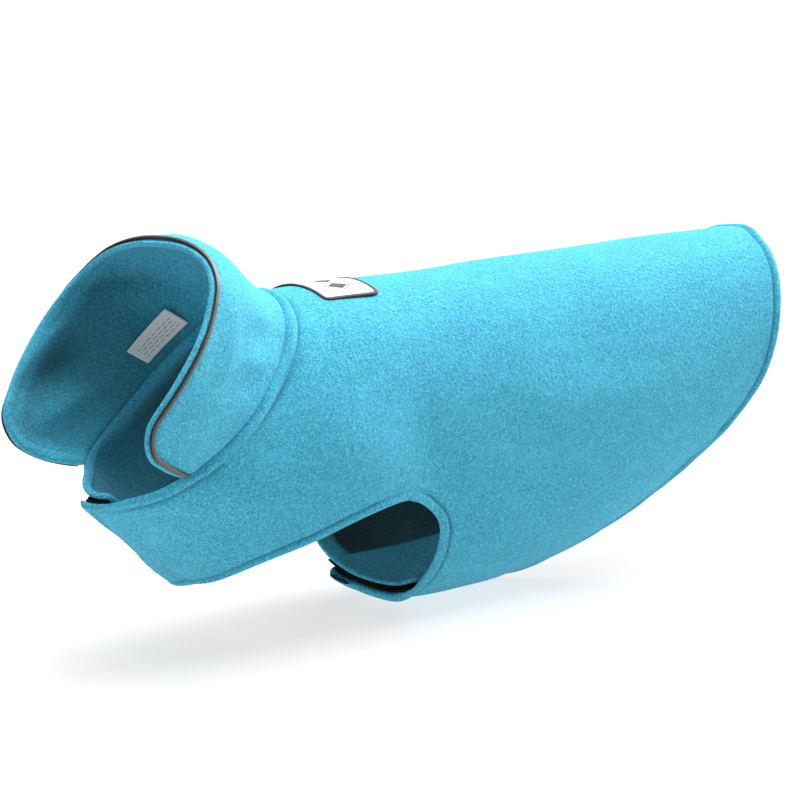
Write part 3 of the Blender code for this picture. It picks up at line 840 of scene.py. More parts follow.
def make_body_panel(finish):
    """The body's sheet: both halves of the panel as outer and inner grids that meet along the cut edge.

    Each face is the body's face at a depth: sewing, plus relief, plus a slow drift of two crossed sine waves.
    """
    front, rear = panel_places("front"), panel_places("rear")
    outline_u, outline_angle = panel_outline(front, rear)
    outline = body_face(outline_u, outline_angle)
    sides, stitch, shade, uv = [], [], [], []
    for u, angle, _ in (front, rear):
        flat = body_face(u, angle)
        s, t = felt_edge(flat, angle, outline, outline_angle)
        band, sunk = hem_band(u, angle), groove_share(u, angle)
        outer, inner = sewn_layers(s, t, band, sunk)
        seam = np.where(angle > 0, nearest_edge(flat, [body_face(*tape_seam())])[0], REACH)
        outer = outer + left_side_relief(u, angle, s, seam)
        shown = 1 - smooth_step(np.abs(angle), OVERLAP, OVERLAP + 10.0)
        outer = outer * np.where(angle < 0, shown, 1.0)
        inner = FLEECE + (inner - FLEECE) * np.where(angle > 0, shown, 1.0)
        drift = 0.45 * np.sin(u * 12.7 + angle / 21.0) + 0.3 * np.sin(u * 23.0 - angle / 13.0 + 1.0)
        drift = drift * shown * smooth_step(s, 4.0, 24.0)
        outer, inner = round_edge(s, outer - drift, inner - drift)
        sides.append((body_face(u, angle, outer), body_face(u, angle, inner)))
        # Painted shade: dark lines in the hem grooves, along the tape's stitches, at the flap's crease step
        # and along the strap's crease, which is shown only by this line and by painted shade inside.
        crease = bell(below_crease(u, angle), 0.0, STRAP_CREASE[2]) * smooth_step(u, 0.46, 0.48)
        past, share = flap_crease(u, angle)
        line = sunk * bell(s, band, 1.0) + bell(seam, 0.0, 1.0) + 0.8 * bell(past, -0.4, 0.8) * share
        inner_groove_painted_shade = 0.8 * bell(s, band, 1.2) + crease
        stitch += [np.clip(line, 0.0, 1.0).ravel(), np.clip(inner_groove_painted_shade, 0.0, 1.0).ravel()]
        # Painted shade on the inner face, none on the outer face.
        shade += [np.zeros(line.size), inner_shade(u, angle, s).ravel()]
        place = np.stack([u * BODY_LENGTH * MM, angle * MM_PER_DEGREE * MM], -1).reshape(-1, 2)
        uv += [place, place]
    made = shell_object("fleece_body_panel", sides, finish, np.concatenate(uv),
                        {"groove_painted_shade": np.concatenate(stitch), "inside": np.concatenate(shade)}, "fleece")
    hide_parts("body_panel")
    return made


def collar_places():
    """Angle and v of every mesh point of the collar: close together along all four edges."""
    per_mm = COLLAR_END / COLLAR_HALF_LENGTH
    last = COLLAR_END - EDGE_STEPS[::-1] * per_mm
    rows = np.concatenate([-last[::-1], np.linspace(-last[0], last[0], 150)[1:-1], last])
    root = -2.5 / COLLAR_HEIGHT             # sewn into the neck edge
    height = COLLAR_HEIGHT * (collar_top(rows) - root)
    v = root + even_steps(height, 20) / COLLAR_HEIGHT
    return np.broadcast_to(rows[:, None], v.shape), v


def make_collar(finish):
    """The collar: two layers turned over at the top edge, with a shallow bed for the piping.

    Each face is the collar's face at a depth: bells along the edges, plus a slow drift of sine waves. Inside,
    the right side's folds stand out more, and the inner face gets painted shade: 0 at the rim, up to 0.88
    deep down.
    """
    angle, v = collar_places()
    flat = collar_face(angle, v)
    top = np.concatenate([flat[0], flat[1:, -1], flat[-1, ::-1][1:]])
    from_top, t, _ = nearest_edge(flat, [top])
    from_root = nearest_edge(flat, [flat[:, 0]])[0]
    uneven = 1 + 0.2 * np.sin(t / 11.0) + 0.15 * np.sin(t / 27.0 + 0.8)
    outer = 0.7 * bell(from_top, PIPING_INSET, 2.0) - 0.9 * bell(from_top, 12.5, 4.6) * uneven
    outer = outer + 0.9 * bell(from_root, 0.0, 3.0) - 0.5 * bell(from_root, 8.0, 4.0)
    inner = COLLAR_WALL + 0.6 * bell(from_top, 5.5, 3.5) * uneven - 0.7 * bell(from_top, 11.5, 3.0)
    inner = inner - 0.8 * bell(from_root, 0.0, 3.0)
    drift = 0.4 * np.sin(angle / 9.0 + v * 5.0) + 0.3 * np.sin(angle / 5.3 - v * 7.0 + 2.0)
    s = np.minimum(from_top, from_root)
    s = np.where(s < 1e-6, 0.0, s)
    drift = drift * smooth_step(s, 3.0, 16.0)
    right_folds = COLLAR_FOLDS[COLLAR_FOLDS[:, 0] < 0]
    crumple = fold_height((angle, v), right_folds, np.array([COLLAR_HALF_LENGTH / COLLAR_END, COLLAR_HEIGHT]))
    inner = inner - np.where(crumple > 0, 0.4, 0.9) * crumple * smooth_step(s, 3.0, 16.0)
    outer, inner = round_edge(s, outer - drift, inner - drift, COLLAR_WALL / 2)
    place = np.stack([angle * COLLAR_HALF_LENGTH / COLLAR_END, v * COLLAR_HEIGHT], -1).reshape(-1, 2) * MM
    # Painted shade: a dark line along the seam at the collar's root.
    line = 0.5 * bell(from_root, 0.5, 1.4).ravel()
    # Painted shade on the inner face: little at the centre back, more towards each side, none by the top
    # edge, and more where a fold is hollow from inside.
    right = 0.46 * smooth_step(-angle, 25.0, 60.0) * (1 - 0.45 * smooth_step(-angle, 84.0, 112.0))
    left = 0.80 * smooth_step(angle, 4.0, 32.0)
    inner_painted_shade = smooth_step(from_top, 10.0, 27.0) * np.clip(0.08 + right + left + 0.045 * crumple, 0.0, 0.88)
    sides = [(collar_face(angle, v, outer), collar_face(angle, v, inner))]
    made = shell_object("fleece_collar", sides, finish, np.concatenate([place, place]),
                        {"groove_painted_shade": np.concatenate([line, line]),
                         "inside": np.concatenate([np.zeros(line.size), inner_painted_shade.ravel()])}, "fleece")
    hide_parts("collar")
    return made


def reflective_piping(grey, border):
    """Woven piping: a grey band of small glass beads between dark thread borders, by the UV map's v."""
    finish, tree, shader = new_finish("reflective_piping", 0.42, 0.1, 0.4, (1, 1, 1), 0.5)
    place = add_node(tree, "ShaderNodeUVMap", {"uv_map": "cloth"}).outputs[0]
    across = add_node(tree, "ShaderNodeSeparateXYZ", None, {"Vector": place}).outputs[1]
    from_top = sums(tree, "ABSOLUTE", sums(tree, "SUBTRACT", across, 0.5))
    band = ramp(tree, from_top, 0.165, 0.140)
    beads = object_noise(tree, 1700.0, 3.0, 0.7)
    wear = object_noise(tree, 90.0, 3.0)
    silver = blended(tree, beads, tuple(c * 0.75 for c in grey), tuple(min(1, c * 1.3) for c in grey))
    silver = blended(tree, sums(tree, "MULTIPLY", wear, 0.35), silver, tuple(c * 0.6 for c in grey))
    tree.links.new(blended(tree, band, border, silver), shader.inputs["Base Color"])
    gloss = sums(tree, "MULTIPLY", band, 0.38)
    tree.links.new(sums(tree, "SUBTRACT", 0.8, gloss), shader.inputs["Roughness"])
    bumped(tree, shader, [(beads, 0.4, 0.0003)])
    return finish


def make_piping(finish, width):
    """A flattened round cord, `width` mm across, carried along the collar's ends and top edge.

    Its radius swells by 3% as a sine wave at each stitch, and both its ends close by a bell curve.
    """
    last = COLLAR_END - PIPING_INSET / COLLAR_HALF_LENGTH * COLLAR_END
    angle = last * np.sin(np.linspace(-np.pi / 2, np.pi / 2, 420))
    top = collar_top(angle, PIPING_INSET)
    rise = np.linspace(0.03, top[0], 22)[:-1]
    angle = np.concatenate([np.full(21, -last), angle, np.full(21, last)])
    v = np.concatenate([rise, top, rise[::-1]])
    angle, v = even_path(collar_face, angle, v, 1.2)
    seat = collar_face(angle, v, PIPING["seat"])
    up = unit(collar_face(angle, v, -1.0) - collar_face(angle, v, 0.0))
    across = unit(np.cross(unit(np.gradient(seat, axis=0)), up))
    round_it = np.linspace(0.0, 2 * np.pi, 20, endpoint=False) - np.pi / 2
    profile = np.stack([width / 2 * np.cos(round_it),
                        PIPING["rise"] + PIPING["half_height"] * np.sin(round_it)], -1)
    t = path_length(seat)
    stitched = 1 + 0.03 * np.sin(2 * np.pi * t / PIPING["pitch"])[:, None, None]
    points = carried_profile(seat, across, up, profile * stitched)
    ends = 1 - 0.85 * (bell(t, 0.0, 0.7) + bell(t, t[-1], 0.7))
    middle = points.mean(1, keepdims=True)
    points = middle + (points - middle) * ends[:, None, None]
    uv = np.stack(np.broadcast_arrays(t[:, None] * MM, (round_it + np.pi / 2)[None] / (2 * np.pi)), -1)
    made = mesh_object("collar_edge_piping", points, tube_quads(*points.shape[:2]), finish, uv, slot="piping")
    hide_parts("collar_piping")
    return made


def fastening_tape(name, colour, hooked):
    """Black fastening tape: a fine grid of hooks, or a felt of loops."""
    finish, tree, shader = new_finish(name, 0.9, 0.0, 0.35, (0.8, 0.85, 0.9), 0.05)
    felt = object_noise(tree, 900.0, 4.0, 0.7)
    base = blended(tree, felt, tuple(c * 0.5 for c in colour), tuple(c * 2.2 + 0.004 for c in colour))
    tree.links.new(base, shader.inputs["Base Color"])
    heights = [(felt, 0.6, 0.0008)]
    if hooked:
        place = add_node(tree, "ShaderNodeUVMap", {"uv_map": "cloth"}).outputs[0]
        part = add_node(tree, "ShaderNodeSeparateXYZ", None, {"Vector": place})
        turns = [sums(tree, "MULTIPLY", part.outputs[k], 2 * np.pi / (1.6 * MM)) for k in (0, 1)]
        ribs = [sums(tree, "SINE", turn) for turn in turns]
        heights.append((sums(tree, "MULTIPLY", *ribs), 0.8, 0.0008))
    bumped(tree, shader, heights)
    return finish


def make_tapes(hook_finish, loop_finish):
    """Four tapes between the overlaps: a grid of places at two depths, closed along rounded edges."""
    made = []
    for place in TAPES:
        for kind, top, turn in (("loop", FLEECE + GAP, 0.0), ("hook", -TAPE - GAP, -360.0)):
            angles, low, high = tape_places(place, kind)
            v = even_steps(np.full(len(angles), 90.0), 14) / 90.0
            u = low[:, None] + (high - low)[:, None] * v
            angle = np.broadcast_to(angles[:, None] + turn, u.shape)
            flat = body_face(u, angle)
            border = np.concatenate([flat[0], flat[1:, -1], flat[-1, ::-1][1:], flat[::-1, 0][1:]])
            s = nearest_edge(flat, [border])[0]
            s = np.where(s < 1e-6, 0.0, s)
            sewn = 0.25 * bell(s, 3.0, 0.8)
            outer, inner = round_edge(s, top - 0.25 + sewn, np.full_like(s, top + TAPE + 0.25) - sewn, 0.4)
            uv = np.stack([u * BODY_LENGTH, angle * MM_PER_DEGREE], -1).reshape(-1, 2) * MM
            sides = [(body_face(u, angle, outer), body_face(u, angle, inner))]
            tape = shell_object(f"{place}_{kind}_band", sides, hook_finish if kind == "hook" else loop_finish,
                                np.concatenate([uv, uv]), slot="tape")
            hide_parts(f"{place}_{kind}_tape")
            made.append(tape)
    return made


def over_back(x, y):
    """u and angle of the outer face's point at x and y near the spine, by repeated correction."""
    u = np.full(np.broadcast(x, y).shape, 0.12)
    angle = np.zeros_like(u)
    for _ in range(30):
        at = body_shape(u, angle)
        u = u + (x - at[..., 0]) / 480.0
        angle = angle - (y - at[..., 1]) / 1.6
    return u, angle


def woven_patch(ground, ink):
    """White damask weave with a plain pattern of lozenges between two rules, by the UV map in metres."""
    finish, tree, shader = new_finish("woven_patch", 0.7, 0.15, 0.4, (1, 1, 1), 0.3)
    place = add_node(tree, "ShaderNodeUVMap", {"uv_map": "cloth"}).outputs[0]
    part = add_node(tree, "ShaderNodeSeparateXYZ", None, {"Vector": place})
    x, y = part.outputs[0], part.outputs[1]
    away, along = sums(tree, "ABSOLUTE", x), sums(tree, "ABSOLUTE", y)
    wrapped = sums(tree, "PINGPONG", sums(tree, "ADD", y, 5 * LOZENGE_PITCH), LOZENGE_PITCH / 2)
    parts = [sums(tree, "DIVIDE", off, half) for off, half in zip((away, wrapped), LOZENGE)]
    lozenge = sums(tree, "ADD", *parts)
    inside = sums(tree, "LESS_THAN", lozenge, 1.0)
    ring = sums(tree, "COMPARE", lozenge, 1.30, 0.08)
    row = sums(tree, "LESS_THAN", along, LOZENGE_ROW)
    field = sums(tree, "MULTIPLY", sums(tree, "MAXIMUM", inside, ring), row)
    rule = sums(tree, "MULTIPLY", sums(tree, "COMPARE", away, RULE["at"], RULE["half_width"]),
                sums(tree, "LESS_THAN", along, RULE["half_length"]))
    motif = sums(tree, "MAXIMUM", field, rule)
    threads = add_node(tree, "ShaderNodeTexWave", {"bands_direction": "X"},
                       {"Vector": place, "Scale": 640.0, "Distortion": 0.4, "Detail": 1.0})
    picks = add_node(tree, "ShaderNodeTexWave", {"bands_direction": "Y"},
                     {"Vector": place, "Scale": 520.0, "Distortion": 0.4, "Detail": 1.0})
    weave = sums(tree, "MULTIPLY", threads.outputs["Fac"], picks.outputs["Fac"])
    shade = blended(tree, weave, tuple(c * 0.86 for c in ground), ground)
    dark = blended(tree, weave, tuple(c * 0.7 for c in ink), tuple(c * 1.35 for c in ink))
    tree.links.new(blended(tree, motif, shade, dark), shader.inputs["Base Color"])
    bumped(tree, shader, [(motif, 0.35, 0.0003), (weave, 0.5, 0.0003)])
    return finish


def make_patch(finish):
    """The woven patch: a grid over the spine, with a low crown and a bell-shaped dent inside its border."""
    (x0, x1), (y0, y1) = BACK_LABEL["x"], BACK_LABEL["y"]
    x = np.linspace(x0 + 0.8, x1 - 0.8, 44)[None, :]
    y = np.linspace(y1 - 0.8, y0 + 0.8, 72)[:, None]
    u, angle = over_back(x, y)
    s = np.minimum(np.minimum(x - x0, x1 - x), np.minimum(y - y0, y1 - y)) - 0.8
    crown = 0.35 * smooth_step(s, 0.0, 14.0) - 0.25 * bell(s, 3.4, 0.7)
    outer, inner = round_edge(s, -(GAP + BACK_LABEL["thick"]) - crown, np.full_like(s, -GAP), 0.8)
    uv = np.stack(np.broadcast_arrays(x - (x0 + x1) / 2, y - (y0 + y1) / 2), -1).reshape(-1, 2) * MM
    patch = shell_object("woven_back_label", [(body_face(u, angle, outer), body_face(u, angle, inner))],
                         finish, np.concatenate([uv, uv]), slot="woven")
    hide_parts("back_label")
    return patch


def make_patch_border(finish):
    """A thread-wound cord round the patch, along a rounded rectangle: cos and sin to a small power.

    The windings are a sine wave that runs once round the cord for each turn of the thread.
    """
    ends = np.array([BACK_LABEL["x"], BACK_LABEL["y"]])
    turn = np.linspace(0.0, 2 * np.pi, 1201)[:-1]
    round_both = np.stack([np.cos(turn), np.sin(turn)], -1)
    half = np.ptp(ends, 1) / 2 - BORDER["inset"]
    line = ends.mean(1) + np.sign(round_both) * np.abs(round_both) ** 0.12 * half
    line = np.concatenate([line, line[:1]])
    length = path_length(line)
    at = np.linspace(0.0, length[-1], 760, endpoint=False)
    u, angle = over_back(*(np.interp(at, length, line[:, k]) for k in (0, 1)))
    seat = body_face(u, angle, -(GAP + BORDER["depth"]))
    up = unit(body_face(u, angle, -1.0) - body_face(u, angle, 0.0))
    across = unit(np.cross(unit(np.roll(seat, -1, 0) - np.roll(seat, 1, 0)), up))
    round_it = np.linspace(0.0, 2 * np.pi, 12, endpoint=False)
    share = at[:, None] / (length[-1] / BORDER["turns"]) + round_it / (2 * np.pi)
    wound = 1 + BORDER["wave"] * np.sin(2 * np.pi * share)
    profile = np.stack([BORDER["half_width"] * np.cos(round_it) * wound,
                        BORDER["half_height"] * np.sin(round_it) * wound], -1)
    points = carried_profile(seat, across, up, profile)
    quads = grid_quads(len(points) + 1, 12, closed=True) % (len(points) * 12)
    border = mesh_object("back_label_border", points, quads, finish, slot="tape")
    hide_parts("back_label")
    return border


def satin_label(ground, ink):
    """White satin with fine ribs and rows of plain grey dashes, by the UV map in metres."""
    finish, tree, shader = new_finish("satin_label", 0.38, 0.3, 0.3, (1, 1, 1), 0.5)
    place = add_node(tree, "ShaderNodeUVMap", {"uv_map": "cloth"}).outputs[0]
    part = add_node(tree, "ShaderNodeSeparateXYZ", None, {"Vector": place})
    x, y = part.outputs[0], part.outputs[1]
    row = sums(tree, "DIVIDE", y, DASH_ROW)
    in_row = sums(tree, "COMPARE", sums(tree, "FRACT", row), 0.5, 0.16)
    shift = sums(tree, "MULTIPLY", sums(tree, "FLOOR", row), DASH["shift"])
    along = sums(tree, "ADD", sums(tree, "DIVIDE", x, DASH["pitch"]), shift)
    dash = sums(tree, "GREATER_THAN", sums(tree, "FRACT", along), DASH["gap"])
    area = [sums(tree, "COMPARE", at, *size) for at, size in zip((x, y), zip(*DASH_AREA.values()))]
    area = sums(tree, "MULTIPLY", *area)
    ink_at = sums(tree, "MULTIPLY", sums(tree, "MULTIPLY", in_row, dash), sums(tree, "MULTIPLY", area, 0.75))
    ribs = add_node(tree, "ShaderNodeTexWave", {"bands_direction": "Y"}, {"Vector": place, "Scale": 700.0})
    base = blended(tree, ribs.outputs["Fac"], tuple(c * 0.9 for c in ground), ground)
    tree.links.new(blended(tree, ink_at, base, ink), shader.inputs["Base Color"])
    bumped(tree, shader, [(ribs.outputs["Fac"], 0.3, 0.0002)])
    return finish


def make_size_label(finish):
    """A folded satin strip sewn into the collar seam on the right, standing a little off the cloth."""
    (a0, a1), (v0, v1) = SIZE_LABEL["angle"], SIZE_LABEL["v"]
    angle = np.linspace(a0, a1, 60)[:, None]
    v = np.linspace(v0, v1, 26)[None, :]
    angle, v = np.broadcast_arrays(angle, v)
    share = (v - v0) / (v1 - v0)
    along = (angle - a0) / (a1 - a0)
    curl = 1.2 * share ** 3 + 0.5 * (np.sin(2 * np.pi * along + 0.6) + bell(along, 0.0, 0.12)) * share
    lift = COLLAR_WALL + GAP + SIZE_LABEL["lift"] * share + curl
    mm_per_degree = COLLAR_HALF_LENGTH / COLLAR_END
    x = (angle - a0) * -mm_per_degree
    y = (v - v0) * COLLAR_HEIGHT
    wide, tall = x.max(), y.max()
    s = np.minimum(np.minimum(x, wide - x), np.minimum(y, tall - y))
    s = np.where(s < 1e-6, 0.0, s)
    outer, inner = round_edge(s, lift, lift + SIZE_LABEL["thick"] + 0.5 * smooth_step(share, 0.6, 1.0), 0.4)
    uv = np.stack([x, y], -1).reshape(-1, 2) * MM
    base, below = collar_face(angle, v), collar_face(angle, v, 1.0)
    sides = [base + (below - base) * depth[..., None] for depth in (outer, inner)]
    made = shell_object("satin_size_label", [tuple(sides)], finish, np.concatenate([uv, uv]), slot="satin")
    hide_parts("size_label")
    return made


def stitch_row(face, a, b, depth, radius, pitch, length):
    """Short thread rods along a line of places: a 6-sided profile that closes at both ends, one per pitch."""
    line = face(a, b, depth)
    up = unit(face(a, b, depth - 1.0) - line)
    at = path_length(line)
    centre = np.arange(pitch / 2, at[-1], pitch)
    along = np.array([-0.5, -0.34, 0.34, 0.5]) * length
    spots = centre[:, None] + along
    point = np.stack([np.interp(spots, at, line[:, k]) for k in range(3)], -1)
    above = unit(np.stack([np.interp(spots, at, up[:, k]) for k in range(3)], -1))
    ahead = unit(point[:, -1:] - point[:, :1])
    across = unit(np.cross(ahead, above))
    ring = np.arange(6) * np.pi / 3
    thick = np.array([0.45, 1.0, 1.0, 0.45])[None, :, None, None] * radius
    sunk = np.array([1.0, 0.0, 0.0, 1.0])[None, :, None, None] * radius * 0.9
    points = (point[:, :, None] + across[:, :, None] * np.cos(ring)[None, None, :, None] * thick
              + above[:, :, None] * (np.sin(ring)[None, None, :, None] * thick - sunk))
    quads = tube_quads(4, 6)
    many = quads[None] + (np.arange(len(points)) * 24)[:, None, None]
    return points.reshape(-1, 3), many.reshape(-1, 4)


def joined(parts):
    """Several (points, quads) as one."""
    starts = np.cumsum([0] + [len(points) for points, _ in parts[:-1]])
    return (np.concatenate([points for points, _ in parts]),
            np.concatenate([quads + start for (_, quads), start in zip(parts, starts)]))


def make_stitching(finish, length):
    """Thread in the groove beside every cut edge, outside and inside, and round the belly's loop tape."""
    front, rear = panel_places("front"), panel_places("rear")
    u, angle = even_path(body_face, *panel_outline(front, rear), 1.0)
    u, angle = inset_path(body_face, u, angle, hem_band(u, angle))
    rod = (STITCH["radius"], STITCH["pitch"], length)
    made = []
    for name, shown in (("outer_stitches", angle > -OVERLAP), ("inner_stitches", angle < OVERLAP)):
        runs = np.split(np.arange(len(u)), np.flatnonzero(np.diff(shown.astype(int))) + 1)
        parts = [stitch_row(body_face, u[run], angle[run], STITCH_DEPTH[name], *rod) for run in runs
                 if shown[run[0]] and len(run) > 8]
        if name == "outer_stitches":
            seam = even_path(body_face, *tape_seam(), 1.0)
            parts.append(stitch_row(body_face, *seam, TAPE_STITCH_DEPTH, *rod))
        made.append(mesh_object(name, *joined(parts), finish, slot="fleece"))
    return made


# ================================================================ stage
def view_axes(azimuth, elevation):
    """Forward, right and up of a camera that looks along +Y at azimuth 0 and along +X at 90 degrees."""
    ahead = np.array([np.sin(azimuth), np.cos(azimuth), 0.0])
    right = np.array([np.cos(azimuth), -np.sin(azimuth), 0.0])
    forward = ahead * np.cos(elevation) - np.array([0.0, 0.0, np.sin(elevation)])
    return forward, right, np.cross(right, forward)


def placed(made, side, up, back, place=(0.0, 0.0, 0.0)):
    """Links a lamp or a camera with its three axes and its place."""
    turn = np.eye(4)
    turn[:3] = np.stack([side, up, back, place], -1)
    made.matrix_world = Matrix(turn.tolist())
    bpy.context.scene.collection.objects.link(made)
    return made


def soft_sun(name, azimuth, elevation, strength):
    """A wide, even lamp from far away."""
    data = bpy.data.lights.new(name, "SUN")
    data.energy = strength
    data.angle = np.radians(LAMP_WIDTH)
    a, e = np.radians(azimuth), np.radians(elevation)
    back = np.array([np.sin(a) * np.cos(e), -np.cos(a) * np.cos(e), np.sin(e)])
    side = unit(np.cross([0.0, 0.01, 1.0], back))
    return placed(bpy.data.objects.new(name, data), side, np.cross(back, side), back)


def make_light(strength):
    """All the lamps, and a faint even glow from around."""
    for name, (azimuth, elevation, share) in LAMPS.items():
        soft_sun(name, azimuth, elevation, share * strength)
    world = bpy.data.worlds.new("pale_studio")
    world.use_nodes = True
    sky = world.node_tree.nodes["Background"]
    sky.inputs["Color"].default_value = (1.0, 1.0, 1.0, 1.0)
    sky.inputs["Strength"].default_value = WORLD_GLOW
    bpy.context.scene.world = world


def make_camera(azimuth, elevation, distance):
    """A camera that sees the neck seam at SEAM_IN_VIEW: seam - distance * (forward + the seam's offset)."""
    forward, right, up = view_axes(azimuth, elevation)
    focal = LENS["length"] / LENS["sensor"] * VIEW_SIZE
    across, down = ((at - VIEW_SIZE / 2) / focal for at in SEAM_IN_VIEW)
    place = to_world(np.zeros(3)) - distance * (forward + across * right - down * up)
    data = bpy.data.cameras.new("view")
    data.sensor_fit = "HORIZONTAL"
    data.sensor_width = LENS["sensor"]
    data.lens = LENS["length"]
    data.clip_end = 60.0
    return placed(bpy.data.objects.new("view", data), right, up, -forward, place)


def floor_finish(colour, roughness):
    """Pale satin floor with a slight unevenness, that glows a little and so fills the shadows."""
    finish, tree, shader = new_finish("pale_floor", roughness, specular=0.25)
    base = blended(tree, object_noise(tree, 3.0, 3.0), tuple(c * 0.985 for c in colour), colour)
    tree.links.new(base, shader.inputs["Base Color"])
    shader.inputs["Emission Color"].default_value = (1.0, 1.0, 1.0, 1.0)
    shader.inputs["Emission Strength"].default_value = FLOOR_GLOW
    return finish


def make_floor(finish, low):
    """A flat grid, wide enough to fill the view."""
    line = np.linspace(-FLOOR_HALF, FLOOR_HALF, 9)
    x, y = np.meshgrid(line, line, indexing="ij")
    points = np.stack([x, y, np.full_like(x, low)], -1).reshape(-1, 3)
    mesh = bpy.data.meshes.new("pale_floor")
    mesh.from_pydata(points.tolist(), [], grid_quads(9, 9).tolist())
    mesh.materials.append(finish)
    floor = bpy.data.objects.new("pale_floor", mesh)
    bpy.context.scene.collection.objects.link(floor)
    floor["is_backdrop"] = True
    return floor


# ================================================================ settings
class CoatFleece(bpy.types.PropertyGroup):
    """Colour and nap of the fleece."""
    colour: bpy.props.FloatVectorProperty(
        name="Fleece colour", description="Colour of the body and the collar", subtype="COLOR", size=3,
        min=0.0, max=1.0, default=(0.076, 0.545, 0.80))
    nap: bpy.props.FloatProperty(
        name="Tuft size", description="Size of one tuft of the nap, in millimetres", default=1.3,
        min=0.5, max=4.0)
    thread: bpy.props.FloatVectorProperty(
        name="Thread colour", description="Colour of the sewing thread", subtype="COLOR", size=3,
        min=0.0, max=1.0, default=(0.05, 0.33, 0.52))
    stitch: bpy.props.FloatProperty(
        name="Stitch length", description="Length of one stitch, in millimetres", default=2.5,
        min=1.0, max=3.0)


class CoatTrims(bpy.types.PropertyGroup):
    """Width of the piping, and colours of the piping, the tapes and the labels."""
    width: bpy.props.FloatProperty(
        name="Piping width", description="Width of the collar's piping, in millimetres", default=4.3,
        min=2.0, max=6.0)
    piping: bpy.props.FloatVectorProperty(
        name="Piping colour", description="Reflective band of the collar's piping", subtype="COLOR", size=3,
        min=0.0, max=1.0, default=(0.082, 0.074, 0.070))
    black: bpy.props.FloatVectorProperty(
        name="Dark trim colour", description="Tapes, label border and the piping's borders", subtype="COLOR",
        size=3, min=0.0, max=1.0, default=(0.006, 0.006, 0.0065))
    white: bpy.props.FloatVectorProperty(
        name="Label colour", description="Ground of both labels", subtype="COLOR", size=3,
        min=0.0, max=1.0, default=(0.86, 0.86, 0.85))
    ink: bpy.props.FloatVectorProperty(
        name="Pattern colour", description="Pattern on the back label", subtype="COLOR", size=3,
        min=0.0, max=1.0, default=(0.06, 0.06, 0.065))
    dashes: bpy.props.FloatVectorProperty(
        name="Dash colour", description="Dashes on the size label", subtype="COLOR", size=3,
        min=0.0, max=1.0, default=(0.22, 0.22, 0.23))


class CoatStage(bpy.types.PropertyGroup):
    """Camera, floor and light."""
    azimuth: bpy.props.FloatProperty(
        name="View azimuth", description="Turn of the camera round the coat", subtype="ANGLE",
        default=np.radians(37.0))
    elevation: bpy.props.FloatProperty(
        name="View elevation", description="Height of the camera above the horizon", subtype="ANGLE",
        default=np.radians(12.0))
    distance: bpy.props.FloatProperty(
        name="View distance", description="From the camera to the neck seam", unit="LENGTH", default=2.6)
    floor: bpy.props.FloatVectorProperty(
        name="Floor colour", description="Colour of the floor", subtype="COLOR", size=3,
        min=0.0, max=1.0, default=(0.28, 0.28, 0.28))
    light: bpy.props.FloatProperty(
        name="Light", description="Strength of all lamps together", default=1.0, min=0.0, max=5.0)


# ================================================================ operators
class COAT_OT_body(bpy.types.Operator):
    """Make the fleece body panel with its flaps, straps and hems"""
    bl_idname = "coat.body"
    bl_label = "Body panel"

    def execute(self, context):
        cloth = context.scene.coat_fleece
        panel = make_body_panel(brushed_fleece(tuple(cloth.colour), cloth.nap))
        return {"FINISHED"}


class COAT_OT_collar(bpy.types.Operator):
    """Make the double stand collar"""
    bl_idname = "coat.collar"
    bl_label = "Collar"

    def execute(self, context):
        collar = make_collar(bpy.data.materials["brushed_fleece"])
        return {"FINISHED"}


class COAT_OT_piping(bpy.types.Operator):
    """Make the reflective piping along the collar's edge"""
    bl_idname = "coat.piping"
    bl_label = "Piping"

    def execute(self, context):
        trims = context.scene.coat_trims
        make_piping(reflective_piping(tuple(trims.piping), tuple(trims.black)), trims.width)
        return {"FINISHED"}


class COAT_OT_tapes(bpy.types.Operator):
    """Make the hook tapes and loop tapes between the flaps and the straps"""
    bl_idname = "coat.tapes"
    bl_label = "Fastening tapes"

    def execute(self, context):
        black = tuple(context.scene.coat_trims.black)
        make_tapes(fastening_tape("hook_tape", black, True), fastening_tape("loop_tape", black, False))
        return {"FINISHED"}


class COAT_OT_labels(bpy.types.Operator):
    """Make the woven label on the back and the satin label in the collar"""
    bl_idname = "coat.labels"
    bl_label = "Labels"

    def execute(self, context):
        trims = context.scene.coat_trims
        white = tuple(trims.white)
        make_patch(woven_patch(white, tuple(trims.ink)))
        make_patch_border(sewing_thread("border_thread", tuple(trims.black)))
        make_size_label(satin_label(white, tuple(trims.dashes)))
        return {"FINISHED"}


class COAT_OT_stitching(bpy.types.Operator):
    """Make the stitches beside the edges"""
    bl_idname = "coat.stitching"
    bl_label = "Stitching"

    def execute(self, context):
        cloth = context.scene.coat_fleece
        make_stitching(sewing_thread("fleece_thread", tuple(cloth.thread)), cloth.stitch)
        return {"FINISHED"}


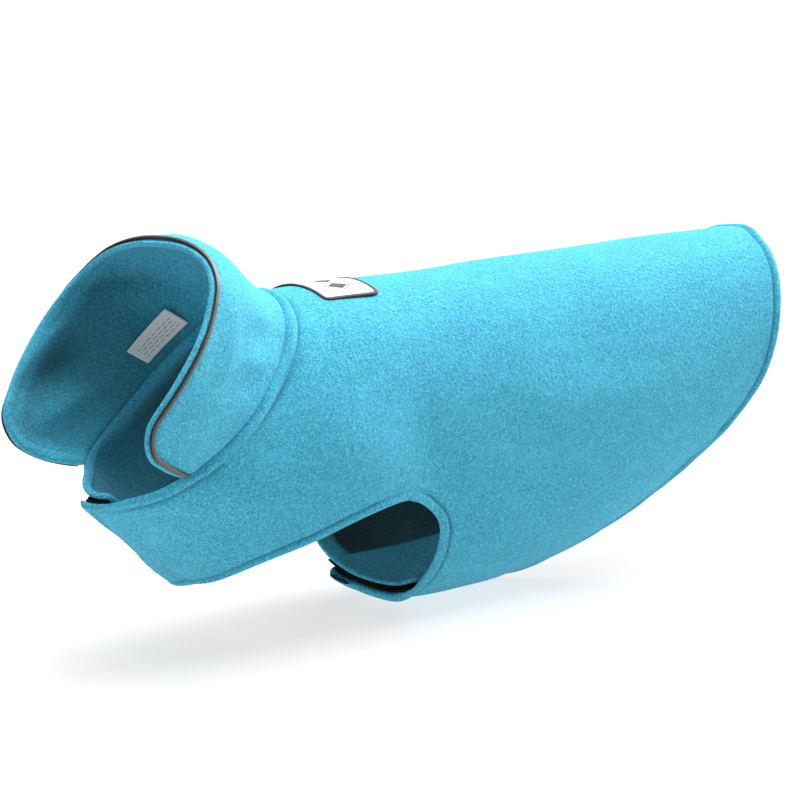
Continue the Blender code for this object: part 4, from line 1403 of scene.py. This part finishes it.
class COAT_OT_stage(bpy.types.Operator):
    """Make the floor, the soft light and the camera"""
    bl_idname = "coat.stage"
    bl_label = "Stage"

    def execute(self, context):
        stage = context.scene.coat_stage
        make_floor(floor_finish(tuple(stage.floor), 0.22), float(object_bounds()[0][2]) - FLOOR_GAP)
        make_light(stage.light)
        context.scene.camera = make_camera(stage.azimuth, stage.elevation, stage.distance)
        context.scene.view_settings.view_transform = "Standard"
        return {"FINISHED"}


class COAT_PT_sidebar(bpy.types.Panel):
    """Sizes, colours and buttons of the coat"""
    bl_label = "Dog winter coat"
    bl_idname = "COAT_PT_sidebar"
    bl_space_type = "VIEW_3D"
    bl_region_type = "UI"
    bl_category = "Coat"

    def draw(self, context):
        layout = self.layout
        scene = context.scene
        for group, keys in ((scene.coat_fleece, ("colour", "nap", "thread", "stitch")),
                            (scene.coat_trims, ("width", "piping", "black", "white", "ink", "dashes")),
                            (scene.coat_stage, ("azimuth", "elevation", "distance", "floor", "light"))):
            column = layout.column()
            for key in keys:
                column.prop(group, key)
        for operator in STEPS:
            layout.operator(operator)


STEPS = ("coat.body", "coat.collar", "coat.piping", "coat.tapes", "coat.labels", "coat.stitching",
         "coat.stage")
CLASSES = (CoatFleece, CoatTrims, CoatStage, COAT_OT_body, COAT_OT_collar, COAT_OT_piping, COAT_OT_tapes,
           COAT_OT_labels, COAT_OT_stitching, COAT_OT_stage, COAT_PT_sidebar)


def register():
    """Registers the classes and hangs the settings on the scene."""
    for made in CLASSES:
        bpy.utils.register_class(made)
    bpy.types.Scene.coat_fleece = bpy.props.PointerProperty(type=CoatFleece)
    bpy.types.Scene.coat_trims = bpy.props.PointerProperty(type=CoatTrims)
    bpy.types.Scene.coat_stage = bpy.props.PointerProperty(type=CoatStage)


def unregister():
    """Takes the settings and the classes away again."""
    for key in ("coat_fleece", "coat_trims", "coat_stage"):
        delattr(bpy.types.Scene, key)
    for made in reversed(CLASSES):
        bpy.utils.unregister_class(made)


def main():
    """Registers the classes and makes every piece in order."""
    register()
    bpy.ops.coat.body()
    bpy.ops.coat.collar()
    bpy.ops.coat.piping()
    bpy.ops.coat.tapes()
    bpy.ops.coat.labels()
    bpy.ops.coat.stitching()
    bpy.ops.coat.stage()


if __name__ == "__main__":
    main()
